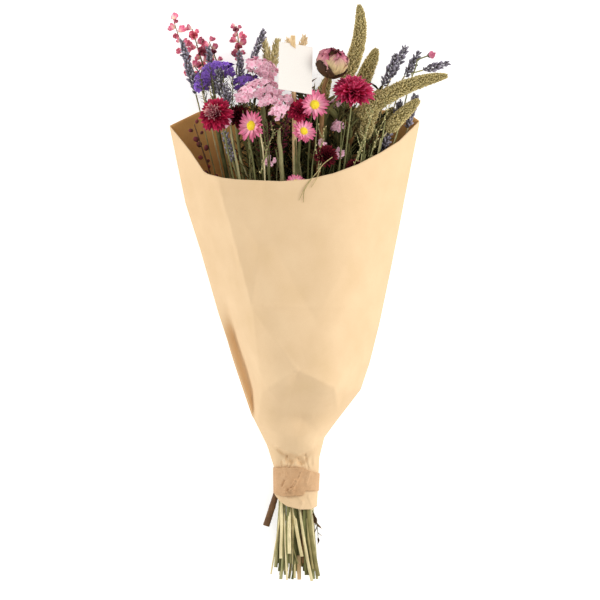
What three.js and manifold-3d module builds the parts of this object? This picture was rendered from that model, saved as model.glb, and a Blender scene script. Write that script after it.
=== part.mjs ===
// A bouquet of mixed dried flowers in a folded kraft paper wrap, lying on its back.
// Millimetres. X is across the bouquet, +Y runs from the binding to the flower heads,
// and +Z points up from the surface that it lies on, to the open front of the wrap.
// The origin is on that surface, under the paper tape that binds the stems.
import * as THREE from "three";
import Module from "manifold-3d";

const wasm = await Module();
wasm.setup();

const seatGap = 0.3; // what two touching pieces keep between them
const edgeThickness = 0.7; // of petals and bracts, at their tips
const goldenAngle = Math.PI * (3 - Math.sqrt(5));

// The wrap: outlines as [along Y, value] pairs, seen from the front.
const paperThickness = 0.8;
const gatheredThickness = 3; // of the pleats pressed together under the tape
const leftEdge = [[-30, -20.5], [12, -21], [34, -28], [62, -42], [115, -60], [167, -77], [230, -95],
  [277, -110], [354, -126]];
const rightEdge = [[-30, 22], [22, 24.5], [42, 29.5], [55, 39], [90, 66], [117, 75], [157, 85],
  [205, 95], [255, 105], [307, 115], [357, 125]];
const frontHeight = [[-30, 32.2], [20, 33.3], [27, 36.5], [38, 48], [60, 60], [68, 66], [92, 84],
  [130, 92], [200, 98], [300, 103], [360, 105]];
const sideHeight = [[-30, 16.6], [24, 16.6], [70, 15], [140, 13], [360, 14]];
// The rims and hems as [across, along Y] pairs; across runs from -1, the left fold, to 1, the right one.
const frontRim = [[-1, 354], [-0.84, 325], [-0.72, 307], [-0.5, 300], [-0.12, 298], [0.12, 300], [0.34, 306],
  [0.54, 315], [0.72, 327], [0.86, 339], [1, 357]];
const backRim = [[-1, 354], [-0.76, 370], [-0.3, 376], [0.3, 376], [0.8, 370], [0.93, 365], [1, 357]];
const frontHem = [[-1, -15], [-0.75, -22], [-0.4, -27], [0.2, -30], [0.7, -30], [1, -27]];
const backHem = [[-1, -15], [0, -22], [1, -27]];
const wrapColumns = 28;
const wrapRows = [-12, 12, 21, 31, 43, 57, 72, 95, 127, 166, 212];
const rimShares = [0.5, 1]; // of the way from the last row to the rim
const neckHeight = 16.6; // height of the binding's middle above the surface
const neckDepth = 15.5; // half the bound bundle's thickness, with its paper
const neckFloor = 1.15; // the paper under the tape is clear of the surface
const neckTop = 20; // the bound, oval stretch ends here
const bellyStart = 78; // and from here on the back of the wrap is flat on the surface
// Folds pressed into the front: from and to as [x, y], how far the ridge stands up, and its half width.
const folds = [
  { from: [-90, 307], to: [-42, 172], rise: 5, reach: 16 },
  { from: [-68, 300], to: [-38, 190], rise: -6, reach: 20 },
  { from: [-42, 172], to: [-33, 92], rise: 4, reach: 13 },
  { from: [-42, 172], to: [85, 158], rise: 2.5, reach: 26 },
  { from: [5, 110], to: [42, 70], rise: 3, reach: 16 },
];

// The tape: a strip of brown paper tape round the neck, crumpled where it is pressed together.
const tapeHalfWidth = 12;
const tapeThickness = 0.8;
const tapeFit = 0.35;

// The tie: the stems are gathered and pressed together, in the order in which their heads stand.
const tieCentre = new THREE.Vector2(1.2, neckHeight);
const gatherMiddle = [0, 0.1]; // slope of the bouquet's middle, across and up, from the tie
const gatherSpread = [200, 220]; // how far out a slope of 1 starts
const gatherPasses = 500;
const tieGap = 0.2; // between two stems that are pressed together
const loneStem = 2.05; // radius of a stem that stands alone in its slot
const sharedStem = 1.42; // and of each one of several
const tieRoom = new THREE.Vector2(18.4, 11.7); // half the width and depth inside the gathered paper
const strandRing = 1.1; // half the distance between two stems that share a slot
const cutEndY = -97;
const splay = 1.34; // how much wider the cut ends stand than in the tie
const splayFrom = -27; // along Y
const tieEnd = 16; // stems keep their order and distances up to here
const stations = [40, 70, 105, 140, 180, 230, 290]; // along Y, where stems are kept clear of each other
const taperEnd = 320; // stems are at their thinnest from here on
const bendLength = 13; // a stem turns to its head's own direction over this length

const colours = {
  kraft_paper: "#e9c998",
  paper_tape: "#d3a873",
  card: "#f6f3ee",
  wood: "#c9a87c",
  green_stem: "#7f7a4c",
  straw_stem: "#b5a374",
  pink_petals: "#e08ba2",
  yellow_disc: "#f3d02c",
  crimson_bracts: "#9c1b38",
  peony_pink: "#c98287",
  peony_brown: "#4c3524",
  statice_pink: "#f0b4c0",
  statice_purple: "#6b4394",
  larkspur_pink: "#d9697f",
  lavender: "#6f6672",
  setaria: "#a28f54",
  pale_grass: "#c9b77e",
  seed_brown: "#6e4630",
};
const materials = Object.fromEntries(Object.entries(colours).map(([slot, colour]) =>
  [slot, new THREE.MeshStandardMaterial({ name: slot, color: colour, roughness: 0.85, metalness: 0 })]));

// The flowers. Points are [x, y, z]; a head faces along facing, and a spike runs from base to tip.
// Stems with the same bunch stand together in one slot of the tie and are one body.
const everlastings = [
  { name: "everlasting_left", bunch: "everlasting_left", at: [-42, 353, 100], facing: [-0.62, 0.08, 0.78], radius: 15.5 },
  { name: "everlasting_middle", bunch: "everlasting_middle", at: [8, 347, 103], facing: [0.4, 0.35, 0.85], radius: 12.5 },
  { name: "everlasting_right", bunch: "everlasting_right", at: [19, 374, 93.5], facing: [0.25, 0.1, 0.95], radius: 14.5 },
  { name: "everlasting_rim", bunch: "everlasting_middle", at: [1, 296, 91], facing: [0, 0.7, 0.71], radius: 10 },
];
const strawflowers = [
  { name: "strawflower_left", bunch: "strawflower_left", at: [-77, 363, 86], facing: [-0.3, 0.25, 0.92], radius: 16.5 },
  { name: "strawflower_shaded", bunch: "statice_purple_middle", at: [-57, 362, 58], facing: [0.2, 0.3, 0.93], radius: 12 },
  { name: "strawflower_right", bunch: "strawflower_right", at: [57, 380, 82], facing: [0.1, 0.86, 0.5], radius: 19 },
  { name: "strawflower_middle", bunch: "strawflower_middle", at: [4.5, 367, 84.5], facing: [0, 0.3, 0.95], radius: 11.5 },
  { name: "strawflower_low", bunch: "strawflower_low", at: [30, 322, 78], facing: [0.1, 0.4, 0.91], radius: 11.5 },
  { name: "strawflower_rim", bunch: "strawflower_low", at: [60, 309, 64], facing: [0.1, 0.6, 0.79], radius: 10 },
];
const statices = [
  { name: "statice_pink_front", slot: "statice_pink", radius: 8,
    path: [[-57, 379, 84], [-46, 386, 86], [-32, 392, 86], [-14, 387, 84]] },
  { name: "statice_pink_low", slot: "statice_pink", radius: 7.5, path: [[-21, 362, 94], [-15, 367, 95], [-11, 374, 94]] },
  { name: "statice_pink_back", slot: "statice_pink", radius: 8.5, path: [[-47, 413, 66], [-33, 413, 68], [-20, 404, 70]] },
  { name: "statice_pink_right", slot: "statice_pink", radius: 6, path: [[41, 349, 62], [45, 358, 64]] },
  { name: "statice_purple_left", slot: "statice_purple", radius: 8.5,
    path: [[-93, 390, 58], [-90, 402, 60], [-78, 409, 62], [-64, 409, 62]] },
  { name: "statice_purple_middle", slot: "statice_purple", radius: 7.5, path: [[-60, 393, 64], [-49, 397, 66], [-38, 398, 64]] },
];
const larkspurs = [
  { name: "larkspur_left", bunch: "larkspur_left", base: [-99, 404, 30], bend: [-113, 430, 31], tip: [-122, 462, 32],
    florets: 13, size: 6 },
  { name: "larkspur_behind", bunch: "larkspur_left", base: [-91, 412, 20], bend: [-97, 430, 20], tip: [-103, 452, 22],
    florets: 9, size: 7 },
  { name: "larkspur_short", bunch: "larkspur_short", base: [-76, 412, 30], bend: [-80, 424, 30], tip: [-86, 439, 32],
    florets: 7, size: 5 },
  { name: "larkspur_middle", bunch: "larkspur_short", base: [-57, 420, 36], bend: [-55, 434, 36], tip: [-59, 455, 34],
    florets: 11, size: 5 },
];
const lavenders = [
  { bunch: "lavender_left", base: [-99, 386, 46], tip: [-113, 439, 50] },
  { bunch: "lavender_left", base: [-80, 386, 38], tip: [-87, 432, 42] },
  { bunch: "lavender_upright", base: [-53, 392, 48], tip: [-55, 427, 50] },
  { bunch: "lavender_upright", base: [-44, 416, 48], tip: [-31, 449, 50] },
  { bunch: "lavender_front", base: [-74, 384, 66], tip: [-77, 408, 72] },
  { bunch: "lavender_front", base: [-67, 372, 75], tip: [-69, 394, 81] },
  { bunch: "lavender_front", base: [-61, 317, 56], tip: [-70, 346, 60] },
  { bunch: "lavender_right", base: [96, 402, 52], tip: [110, 432, 56] },
  { bunch: "lavender_right", base: [88, 394, 52], tip: [101, 424, 58] },
  { bunch: "lavender_right", base: [110, 404, 40], tip: [124, 427, 44] },
  { bunch: "lavender_far", base: [128, 410, 44], tip: [152, 417, 42] },
  { bunch: "lavender_low", base: [113, 352, 30], tip: [121, 385, 32] },
  { bunch: "lavender_low", base: [94, 346, 44], tip: [106, 378, 46] },
  { bunch: "lavender_low", base: [86, 326, 46], tip: [95, 350, 48] },
];
const setarias = [
  { name: "setaria_upright", base: [48, 398, 52], bend: [64, 438, 54], tip: [61, 474, 52], radius: 7 },
  { name: "setaria_right", base: [64, 362, 66], bend: [98, 396, 68], tip: [152, 404, 62], radius: 8 },
  { name: "setaria_back", base: [62, 388, 28], bend: [72, 408, 28], tip: [82, 432, 26], radius: 7.5 },
  { name: "setaria_left", base: [22, 366, 40], bend: [27, 386, 40], tip: [34, 404, 38], radius: 6.5 },
  { name: "setaria_low", base: [92, 348, 56], bend: [106, 366, 56], tip: [124, 380, 54], radius: 6.5 },
];
const paleGrasses = [
  { base: [-24, 409, 42], tips: [[-31, 440, 43], [-17, 441, 40]], radius: 5 },
  { base: [1, 410, 42], tips: [[-7, 441, 42], [10, 444, 42]], radius: 4.5 },
];
const peony = { at: [32, 402, 80], facing: [0.3, 0.86, 0.42], radius: 15 };
const pinkBud = { bunch: "lavender_far", at: [133, 424, 56], facing: [0.9, 0.3, 0.3], radius: 6 };
const seedSpray = { base: [-80, 290, 40], bend: [-90, 326, 42], tip: [-101, 356, 42], seeds: 8 };
const strayGrass = [[37, 322, 96], [28, 315, 97], [21, 306, 106], [12, 294, 108], [5, 279, 106]];
// The card's top edge is held in the sawn end of a wooden stick; its lower edge leans out over the flowers.
const card = { at: [0.5, 410.5, 99], width: 35.5, height: 51, thickness: 0.8, turn: [-0.36, 0.37, -0.02] };
const stick = { width: 4.8, thickness: 2.6, tipThickness: 4.6, tipFrom: 420, tip: [-2, 443, 92.4], foot: 396 };

const v3 = (p) => new THREE.Vector3(...p);
const lerp = THREE.MathUtils.lerp;
const smoothstep = THREE.MathUtils.smoothstep;

// The value at x of a line through [x, value] pairs.
function along(pairs, x) {
  const next = pairs.findIndex(([at]) => at >= x);
  if (next === 0) return pairs[0][1];
  if (next < 0) return pairs.at(-1)[1];
  const [[x0, y0], [x1, y1]] = [pairs[next - 1], pairs[next]];
  return lerp(y0, y1, (x - x0) / (x1 - x0));
}

// A closed solid from its points and triangles, with its faces turned outwards.
function solidOf(points, faces) {
  const vertProperties = new Float32Array(points.flatMap((p) => [p.x, p.y, p.z]));
  const make = (triangles) =>
    new wasm.Manifold(new wasm.Mesh({ numProp: 3, vertProperties, triVerts: new Uint32Array(triangles.flat()) }));
  const made = make(faces);
  return made.volume() > 0 ? made : make(faces.map(([a, b, c]) => [a, c, b]));
}

// A closed solid through rings of equally many points; a ring of one point is a tip.
function loft(rings) {
  const sides = Math.max(...rings.map((ring) => ring.length));
  const faces = [];
  const fan = (first, ring) => {
    for (let k = 1; k + 1 < ring.length; k++) faces.push([first, first + k, first + k + 1]);
  };
  let first = 0;
  rings.forEach((ring, r) => {
    if (r === 0) fan(first, [...ring]);
    const next = rings[r + 1];
    if (!next) {
      for (let k = 1; k + 1 < ring.length; k++) faces.push([first, first + k + 1, first + k]);
      return;
    }
    const after = first + ring.length;
    for (let k = 0; k < sides; k++) {
      const l = (k + 1) % sides;
      const [a, b] = ring.length > 1 ? [first + k, first + l] : [first, first];
      const [c, d] = next.length > 1 ? [after + k, after + l] : [after, after];
      if (a !== b) faces.push([a, d, b]);
      if (c !== d) faces.push([a, c, d]);
    }
    first = after;
  });
  return solidOf(rings.flat(), faces);
}

// Points round a centre in the plane of two unit vectors, at the given distances.
function ring(centre, across, up, radii, turn = 0) {
  return radii.map((radius, k) => {
    const angle = turn + (2 * Math.PI * k) / radii.length;
    return centre.clone()
      .addScaledVector(across, radius * Math.cos(angle))
      .addScaledVector(up, radius * Math.sin(angle));
  });
}

// Two unit vectors square to a direction.
function squareTo(direction) {
  const across = new THREE.Vector3(0.13, 0.02, 1).cross(direction).normalize();
  return [across, direction.clone().cross(across).normalize()];
}

const even = (count, radius) => Array(count).fill(radius);
const union = (solids) => wasm.Manifold.union(solids);

// A round rod along a curve, from one radius to another.
function rod(curve, segments, sides, radiusAt) {
  const frames = curve.computeFrenetFrames(segments, false);
  const rings = [];
  for (let i = 0; i <= segments; i++) {
    const share = i / segments;
    rings.push(ring(curve.getPointAt(share), frames.normals[i], frames.binormals[i], even(sides, radiusAt(share))));
  }
  return loft(rings);
}

// A direction that leans from the Z axis by polar, at azimuth.
function polarDirection(polar, azimuth) {
  return new THREE.Vector3(
    Math.sin(polar) * Math.cos(azimuth), Math.sin(polar) * Math.sin(azimuth), Math.cos(polar));
}

// A ring of pointed petals or bracts round the Z axis: tips at reach, and notches between them.
function starRing({ points, middle, reach, polar, notch, half = 0, lift = 0 }) {
  return Array.from({ length: 2 * points }, (_, k) => {
    const tip = (k + half) % 2 === 0;
    const point = polarDirection(polar, (Math.PI * k) / points).multiplyScalar(tip ? reach : reach * notch);
    point.z += middle + lift;
    return point;
  });
}

// A body of revolution-like rings on the Z axis, from [height, radius] pairs.
function turned(profile, sides) {
  const [across, up] = [new THREE.Vector3(1, 0, 0), new THREE.Vector3(0, 1, 0)];
  return loft(profile.map(([z, r]) => r ? ring(new THREE.Vector3(0, 0, z), across, up, even(sides, r))
    : [new THREE.Vector3(0, 0, z)]));
}

const heartTop = 0.3; // of an everlasting's radius
// Two rings of petals round a flat heart; each ring has edges as thick as a petal.
function everlastingPetals(radius, points = 10) {
  const level = (r, z) => starRing({ points, middle: z, reach: r, polar: Math.PI / 2, notch: 1 });
  const outer = { points, middle: 0.08 * radius, reach: radius, polar: 1.38, notch: 0.56 };
  const inner = { points, middle: 0.12 * radius, reach: 0.78 * radius, polar: 1.06, notch: 0.62, half: 1 };
  return loft([
    level(1.5, 0),
    starRing(outer),
    starRing({ ...outer, lift: edgeThickness }),
    level(0.42 * radius, 0.24 * radius),
    starRing(inner),
    starRing({ ...inner, lift: edgeThickness }),
    level(0.33 * radius, heartTop * radius),
  ]);
}

function everlastingDisc(radius) {
  const foot = heartTop * radius + seatGap;
  return turned([[foot, 0.24 * radius], [foot + 0.06 * radius, 0.3 * radius], [foot + 0.13 * radius, 0.22 * radius],
    [foot + 0.16 * radius, 0]], 9);
}

// Staggered rings of stiff pointed bracts, from the reflexed ones underneath to those that close over the middle.
function strawflower(radius, points = 8) {
  const middle = 0.46 * radius;
  const bracts = [[2.1, 0.8], [1.78, 0.97], [1.42, 1], [1.08, 0.97], [0.74, 0.92], [0.4, 0.86]];
  return loft([
    starRing({ points, middle: 0, reach: 0.12 * radius, polar: Math.PI / 2, notch: 1 }),
    ...bracts.map(([polar, reach], row) =>
      starRing({ points, middle, reach: reach * radius, polar, notch: 0.62, half: row % 2 })),
    [new THREE.Vector3(0, 0, middle + 0.66 * radius)],
  ]);
}

function flowerBud(radius, points = 5) {
  return loft([
    starRing({ points, middle: 0, reach: 1.2, polar: Math.PI / 2, notch: 1 }),
    starRing({ points, middle: 0.6 * radius, reach: 0.8 * radius, polar: 1.6, notch: 0.7 }),
    starRing({ points, middle: 0.6 * radius, reach: 0.95 * radius, polar: 0.9, notch: 0.6, half: 1 }),
    starRing({ points, middle: 0.6 * radius, reach: 1.1 * radius, polar: 0.35, notch: 0.7 }),
    [new THREE.Vector3(0, 0, 1.3 * radius)],
  ]);
}

// A cluster of small funnel flowers that stand out of a slim core along a path, on the side that shows.
const staticeFacing = new THREE.Vector3(0, 0.42, 0.91).normalize();
const staticeCore = 0.42; // of the cluster's radius
const staticeOut = (tangent) => staticeFacing.clone().addScaledVector(tangent, -staticeFacing.dot(tangent)).normalize();
function staticeCluster({ path, radius }) {
  const curve = new THREE.CatmullRomCurve3(path.map(v3));
  const length = curve.getLength();
  const rows = Math.max(2, Math.round(length / 9)) + 1;
  const core = rod(curve, rows - 1, 5, () => staticeCore * radius);
  const florets = [];
  for (let row = 0; row < rows; row++) {
    const share = lerp(0.06, 0.94, row / (rows - 1));
    const centre = curve.getPointAt(share);
    const tangent = curve.getTangentAt(share);
    const outward = staticeOut(tangent);
    const side = tangent.clone().cross(outward);
    const ahead = 1.3 * (share - 0.5);
    const fan = row % 2 ? [-1.25, -0.42, 0.42, 1.25] : [-0.85, 0, 0.85];
    for (const angle of fan) {
      const direction = outward.clone().multiplyScalar(Math.cos(angle))
        .addScaledVector(side, Math.sin(angle)).addScaledVector(tangent, ahead).normalize();
      const [across, up] = squareTo(direction);
      const mouth = ring(centre.clone().addScaledVector(direction, radius), across, up, even(4, 0.42 * radius), angle * 3);
      florets.push(loft([[centre], mouth, [centre.clone().addScaledVector(direction, radius - 1.6)]]));
    }
  }
  return union([core, ...florets]);
}

// Where a cluster's green branches end, just under its core, and which way they come in.
function staticeSeats({ path, radius }) {
  const curve = new THREE.CatmullRomCurve3(path.map(v3));
  const shares = curve.getLength() > 26 ? [0.12, 0.5, 0.88] : [0.28, 0.78];
  return shares.map((share) => {
    const inward = staticeOut(curve.getTangentAt(share));
    return { seat: curve.getPointAt(share).addScaledVector(inward, -(staticeCore * radius + 0.4)), inward };
  });
}

// A spike of five-petalled florets on a slim axis.
function larkspurSpike({ base, bend, tip, florets, size }) {
  const curve = new THREE.QuadraticBezierCurve3(v3(base), v3(bend), v3(tip));
  const solids = [rod(curve, 4, 4, () => 0.8)];
  for (let k = 0; k < florets; k++) {
    const share = 0.05 + (0.95 * k) / (florets - 1);
    const centre = curve.getPointAt(Math.min(share, 0.985));
    const tangent = curve.getTangentAt(share);
    const [across, up] = squareTo(tangent);
    const around = k * goldenAngle;
    const last = k === florets - 1;
    const outward = last ? tangent.clone() : across.multiplyScalar(Math.cos(around))
      .addScaledVector(up, Math.sin(around)).addScaledVector(tangent, 0.55).normalize();
    const reach = size * (1.15 - 0.4 * share);
    const spread = size * (0.92 - 0.35 * share);
    const [side, lift] = squareTo(outward);
    solids.push(loft([
      [centre],
      ring(centre.clone().addScaledVector(outward, reach), side, lift, even(4, 0.9 * spread), around),
      [centre.clone().addScaledVector(outward, reach * 0.62)],
    ]));
  }
  return union(solids);
}

// A lavender spike: pairs of pointed buds, each pair turned a quarter from the last, on one slim axis.
function lavenderSpike({ base, tip }) {
  const [foot, top] = [v3(base), v3(tip)];
  const length = foot.distanceTo(top);
  const axis = top.clone().sub(foot).normalize();
  const [across, up] = squareTo(axis);
  const pairs = Math.max(6, Math.round(length / 5));
  const rings = [ring(foot, across, up, even(4, 1))];
  for (let k = 1; k < pairs; k++) {
    const budReach = 3.4 - 1.2 * (k / pairs);
    const radii = Array.from({ length: 4 }, (_, p) => ((k + p) % 2 ? budReach : 0.9));
    const whorl = ring(foot.clone().addScaledVector(axis, (length * k) / pairs), across, up, radii);
    whorl.forEach((point, p) => (k + p) % 2 && point.addScaledVector(axis, 2));
    rings.push(whorl);
  }
  rings.push([top]);
  return loft(rings);
}

// A foxtail millet head or grass plume: seeds stand out of its surface like a chequer.
function seedHead({ base, bend, tip, radius }, { rows, sides, bump, shoulder }) {
  const middle = bend ? v3(bend) : v3(base).lerp(v3(tip), 0.5);
  const curve = new THREE.QuadraticBezierCurve3(v3(base), middle, v3(tip));
  const frames = curve.computeFrenetFrames(rows, false);
  const rings = [];
  for (let i = 0; i < rows; i++) {
    const share = i / rows;
    const swell = Math.min(1, 0.42 + share * shoulder) * Math.sqrt(1 - share ** 3);
    const radii = Array.from({ length: sides }, (_, k) => radius * swell * (1 + bump * ((i + k) % 2 ? 1 : -1)));
    rings.push(ring(curve.getPointAt(share), frames.normals[i], frames.binormals[i], i ? radii : even(sides, radius * 0.4)));
  }
  return loft([...rings, [v3(tip)]]);
}

// A peony bud: a ball of crumpled petals, wound round each other, in a cup of sepals.
const peonyFoot = 2.2; // the ball starts this far above the stem's end
const peonySides = 10;
function peonyRing(radius, middle, polar, change = () => 0) {
  return Array.from({ length: peonySides }, (_, k) => {
    const azimuth = (2 * Math.PI * k) / peonySides;
    const [reach, swell] = change(k, azimuth);
    const r = radius * (1 + swell);
    return new THREE.Vector3(r * Math.sin(polar + reach) * Math.cos(azimuth),
      r * Math.sin(polar + reach) * Math.sin(azimuth), middle - r * Math.cos(polar + reach));
  });
}

function peonyBall(radius) {
  const middle = radius + peonyFoot;
  const wound = (polar) => (k, azimuth) => [0, polar > 1.6 ? 0.06 * Math.sin(3 * azimuth + 4 * polar) : 0];
  return loft([[new THREE.Vector3(0, 0, peonyFoot)],
    ...[0.7, 1.35, 1.8, 2.25, 2.7].map((polar) => peonyRing(radius, middle, polar, wound(polar))),
    [new THREE.Vector3(0, 0, middle + 0.95 * radius)]]);
}

function peonyCup(radius) {
  const middle = radius + peonyFoot;
  const lobes = (k) => [k % 2 ? -0.12 : 0.1, 0];
  const even = () => [0, 0];
  const [outer, inner] = [radius + 1.7, radius + 0.8];
  return union([
    loft([[new THREE.Vector3(0, 0, middle - outer)],
      peonyRing(outer, middle, 0.7, even), peonyRing(outer, middle, 1.25, lobes),
      peonyRing(inner, middle, 1.25, lobes), peonyRing(inner, middle, 0.7, even),
      [new THREE.Vector3(0, 0, middle - inner)]]),
    turned([[-0.5, 2.2], [peonyFoot - 1, 3]], 6),
  ]);
}

// A twig with small round seed heads on short stalks.
function seedTwig({ base, bend, tip, seeds }) {
  const curve = new THREE.QuadraticBezierCurve3(v3(base), v3(bend), v3(tip));
  const solids = [rod(curve, 4, 4, (share) => 1 - 0.4 * share)];
  for (let k = 0; k < seeds; k++) {
    const share = 0.15 + (0.83 * k) / (seeds - 1);
    const centre = curve.getPointAt(share);
    const tangent = curve.getTangentAt(share);
    const [across, up] = squareTo(tangent);
    const outward = across.multiplyScalar(Math.cos(k * goldenAngle)).addScaledVector(up, Math.sin(k * goldenAngle))
      .addScaledVector(tangent, 0.7).normalize();
    const [side, lift] = squareTo(outward);
    const at = (distance, radii) => ring(centre.clone().addScaledVector(outward, distance), side, lift, radii);
    solids.push(loft([[centre], at(2.5, even(4, 0.6)), at(4.6, even(4, 2.2)), [centre.clone().addScaledVector(outward, 7)]]));
  }
  return union(solids);
}

// How high the outside of the wrap's front stands at [across, y].
function frontZ(across, y) {
  const [left, right] = [along(leftEdge, y), along(rightEdge, y)];
  const neck = 1 - smoothstep(y, neckTop, bellyStart);
  const side = along(sideHeight, y);
  const crown = lerp(0.78, 0.5, neck);
  const x = lerp(left, right, (across + 1) / 2);
  const bulge = Math.max(0, 1 - across * across) ** crown;
  const relief = folds.reduce((sum, { from, to, rise, reach }) => {
    const line = new THREE.Line3(new THREE.Vector3(...from, 0), new THREE.Vector3(...to, 0));
    const nearest = line.closestPointToPoint(new THREE.Vector3(x, y, 0), true, new THREE.Vector3());
    return sum + rise * Math.max(0, 1 - Math.hypot(nearest.x - x, nearest.y - y) / reach);
  }, 0);
  const pleats = 1.3 * Math.cos(across * 17) * smoothstep(y, 14, 22) * (1 - smoothstep(y, 30, 46));
  return side + (along(frontHeight, y) - side) * bulge + (relief + pleats) * bulge;
}

function backZ(across, y) {
  const neck = 1 - smoothstep(y, neckTop, bellyStart);
  const oval = Math.max(neckFloor, neckHeight - (neckDepth + 2) * Math.sqrt(Math.max(0, 1 - across * across)));
  const flat = along(sideHeight, y) * smoothstep(Math.abs(across), 0.66, 1) ** 1.5;
  return lerp(flat, oval, neck);
}

// A point of the wrap's outside. Turn runs once round, from the left fold over the front to the right one and back.
function wrapPoint(turn, row) {
  const front = turn <= 0.5;
  const across = -Math.cos(2 * Math.PI * turn);
  const rim = along(front ? frontRim : backRim, across);
  const hem = along(front ? frontHem : backHem, across);
  const last = wrapRows.length - 1;
  const y = row < 0 ? hem : row <= last ? wrapRows[row] : lerp(wrapRows[last], rim, rimShares[row - last - 1]);
  const x = lerp(along(leftEdge, y), along(rightEdge, y), (across + 1) / 2);
  return new THREE.Vector3(x, y, front ? frontZ(across, y) : backZ(across, y));
}

// The rows of a surface, moved inwards by a distance along its normals.
function inset(rows, depthAt) {
  return rows.map((points, r) => points.map((point, k) => {
    const round = points[(k + 1) % points.length].clone().sub(points[(k + points.length - 1) % points.length]);
    const lengthwise = rows[Math.min(r + 1, rows.length - 1)][k].clone().sub(rows[Math.max(r - 1, 0)][k]);
    const inward = lengthwise.cross(round).normalize();
    inward.y *= 0.3;
    return point.clone().addScaledVector(inward.normalize(), depthAt(point.y));
  }));
}

// A sleeve between two surfaces of as many rows and points.
function sleeve(outer, inner) {
  const columns = outer[0].length;
  const rows = [...outer, ...inner.toReversed()];
  const faces = [];
  rows.forEach((_, r) => {
    const s = (r + 1) % rows.length;
    for (let k = 0; k < columns; k++) {
      const l = (k + 1) % columns;
      const [a, b, c, d] = [r * columns + k, r * columns + l, s * columns + k, s * columns + l];
      faces.push([a, b, d], [a, d, c]);
    }
  });
  return solidOf(rows.flat(), faces);
}

const paperDepth = (y) => lerp(gatheredThickness, paperThickness, smoothstep(y, 22, 60));

function paperWrap() {
  const rows = [];
  for (let row = -1; row < wrapRows.length + rimShares.length; row++)
    rows.push(Array.from({ length: wrapColumns }, (_, k) => wrapPoint(k / wrapColumns, row)));
  return sleeve(rows, inset(rows, paperDepth));
}

// The tape follows the neck, and its front is crumpled into a few folds.
function paperTape() {
  const rows = [-1, 0, 1].map((share) => Array.from({ length: wrapColumns }, (_, k) => {
    const across = -Math.cos((2 * Math.PI * k) / wrapColumns);
    const y = share * tapeHalfWidth;
    const x = lerp(along(leftEdge, y), along(rightEdge, y), (across + 1) / 2);
    return new THREE.Vector3(x, y, k <= wrapColumns / 2 ? frontZ(across, y) : backZ(across, y));
  }));
  const near = inset(rows, () => -tapeFit);
  const far = inset(rows, () => -tapeFit - tapeThickness).map((points, r) => points.map((point, k) => {
    const front = k > 2 && k < wrapColumns / 2 - 2;
    const crumple = front ? 1.5 * (1 + Math.sin(2.1 * k + 1.7 * r)) : 0;
    const under = k > wrapColumns / 2 && point.z < 0.6;
    return new THREE.Vector3(point.x, point.y, under ? 0 : point.z + crumple);
  }));
  return sleeve(far, near);
}

const cardFrame = new THREE.Object3D();
cardFrame.position.set(...card.at);
cardFrame.rotation.set(...card.turn);
cardFrame.updateMatrix();

// A box between two points, flat side up.
function bar(from, to, width, thickness) {
  const up = new THREE.Vector3(1, 0, 0).cross(to.clone().sub(from)).normalize();
  return loft([from, to].map((point) => [[-1, -1], [1, -1], [1, 1], [-1, 1]].map(([dx, dz]) =>
    point.clone().add(new THREE.Vector3((dx * width) / 2, 0, 0)).addScaledVector(up, (dz * thickness) / 2))));
}

// The point of the stick's middle line at a height on the bouquet.
function stickPoint(y, slot) {
  return slot.clone().setY(tieEnd).lerp(v3(stick.tip), (y - tieEnd) / (stick.tip[1] - tieEnd));
}

function splitEnd(slot) {
  const whole = union([
    bar(stickPoint(stick.foot, slot), stickPoint(stick.tip[1], slot), stick.width, stick.thickness),
    bar(stickPoint(stick.tipFrom, slot), stickPoint(stick.tip[1], slot), stick.width, stick.tipThickness),
  ]);
  const slit = card.thickness + 2 * seatGap;
  const cutTo = card.height / 2 + seatGap;
  const saw = bar(new THREE.Vector3(0, -card.height, 0), new THREE.Vector3(0, cutTo, 0), 2 * card.width, slit)
    .transform(cardFrame.matrix.elements);
  const halves = whole.subtract(saw).decompose();
  return halves.sort((a, b) => b.volume() - a.volume())[0];
}

const strands = []; // every stem: where it ends, which way it points there, and the bunch that it stands in
const blooms = []; // every other piece: its name, slot, solid and place

function grow(bunch, end, direction, radius = 1.4) {
  strands.push({ bunch, end, direction: direction.clone().normalize(), radius });
}

function place(name, slot, solid, at, facing) {
  blooms.push({ name, slot, solid, at, facing });
}

for (const { name, bunch, at, facing, radius } of everlastings) {
  const direction = v3(facing).normalize();
  place(`${name}_petals`, "pink_petals", everlastingPetals(radius), v3(at), direction);
  place(`${name}_disc`, "yellow_disc", everlastingDisc(radius), v3(at), direction);
  grow(bunch, v3(at).addScaledVector(direction, -seatGap), direction, 1.3);
}
for (const { name, bunch, at, facing, radius } of strawflowers) {
  const direction = v3(facing).normalize();
  place(name, "crimson_bracts", strawflower(radius), v3(at), direction);
  grow(bunch, v3(at).addScaledVector(direction, -seatGap), direction, 1.4);
}
const forks = new Map(); // the green branches of each statice
for (const statice of statices) {
  place(statice.name, statice.slot, staticeCluster(statice));
  const seats = staticeSeats(statice);
  const fork = seats.reduce((sum, { seat }) => sum.add(seat), new THREE.Vector3()).divideScalar(seats.length).add(new THREE.Vector3(0, -20, -8));
  forks.set(statice.name, seats.map(({ seat, inward }) => {
    const early = seat.clone().addScaledVector(inward, -8);
    return rod(new THREE.QuadraticBezierCurve3(fork, early, seat), 2, 3, (share) => 1.6 - 0.6 * share);
  }));
  grow(statice.name, fork.clone().add(new THREE.Vector3(0, 1, 0.2)), new THREE.Vector3(0, 1, 0.3), 1.7);
}
for (const spike of larkspurs) {
  const direction = v3(spike.bend).sub(v3(spike.base)).normalize();
  place(spike.name, "larkspur_pink", larkspurSpike(spike));
  grow(spike.bunch, v3(spike.base).addScaledVector(direction, -seatGap), direction, 1.2);
}
place("peony_petals", "peony_pink", peonyBall(peony.radius), v3(peony.at), v3(peony.facing).normalize());
grow("peony", v3(peony.at), v3(peony.facing), 1.9);
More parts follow.
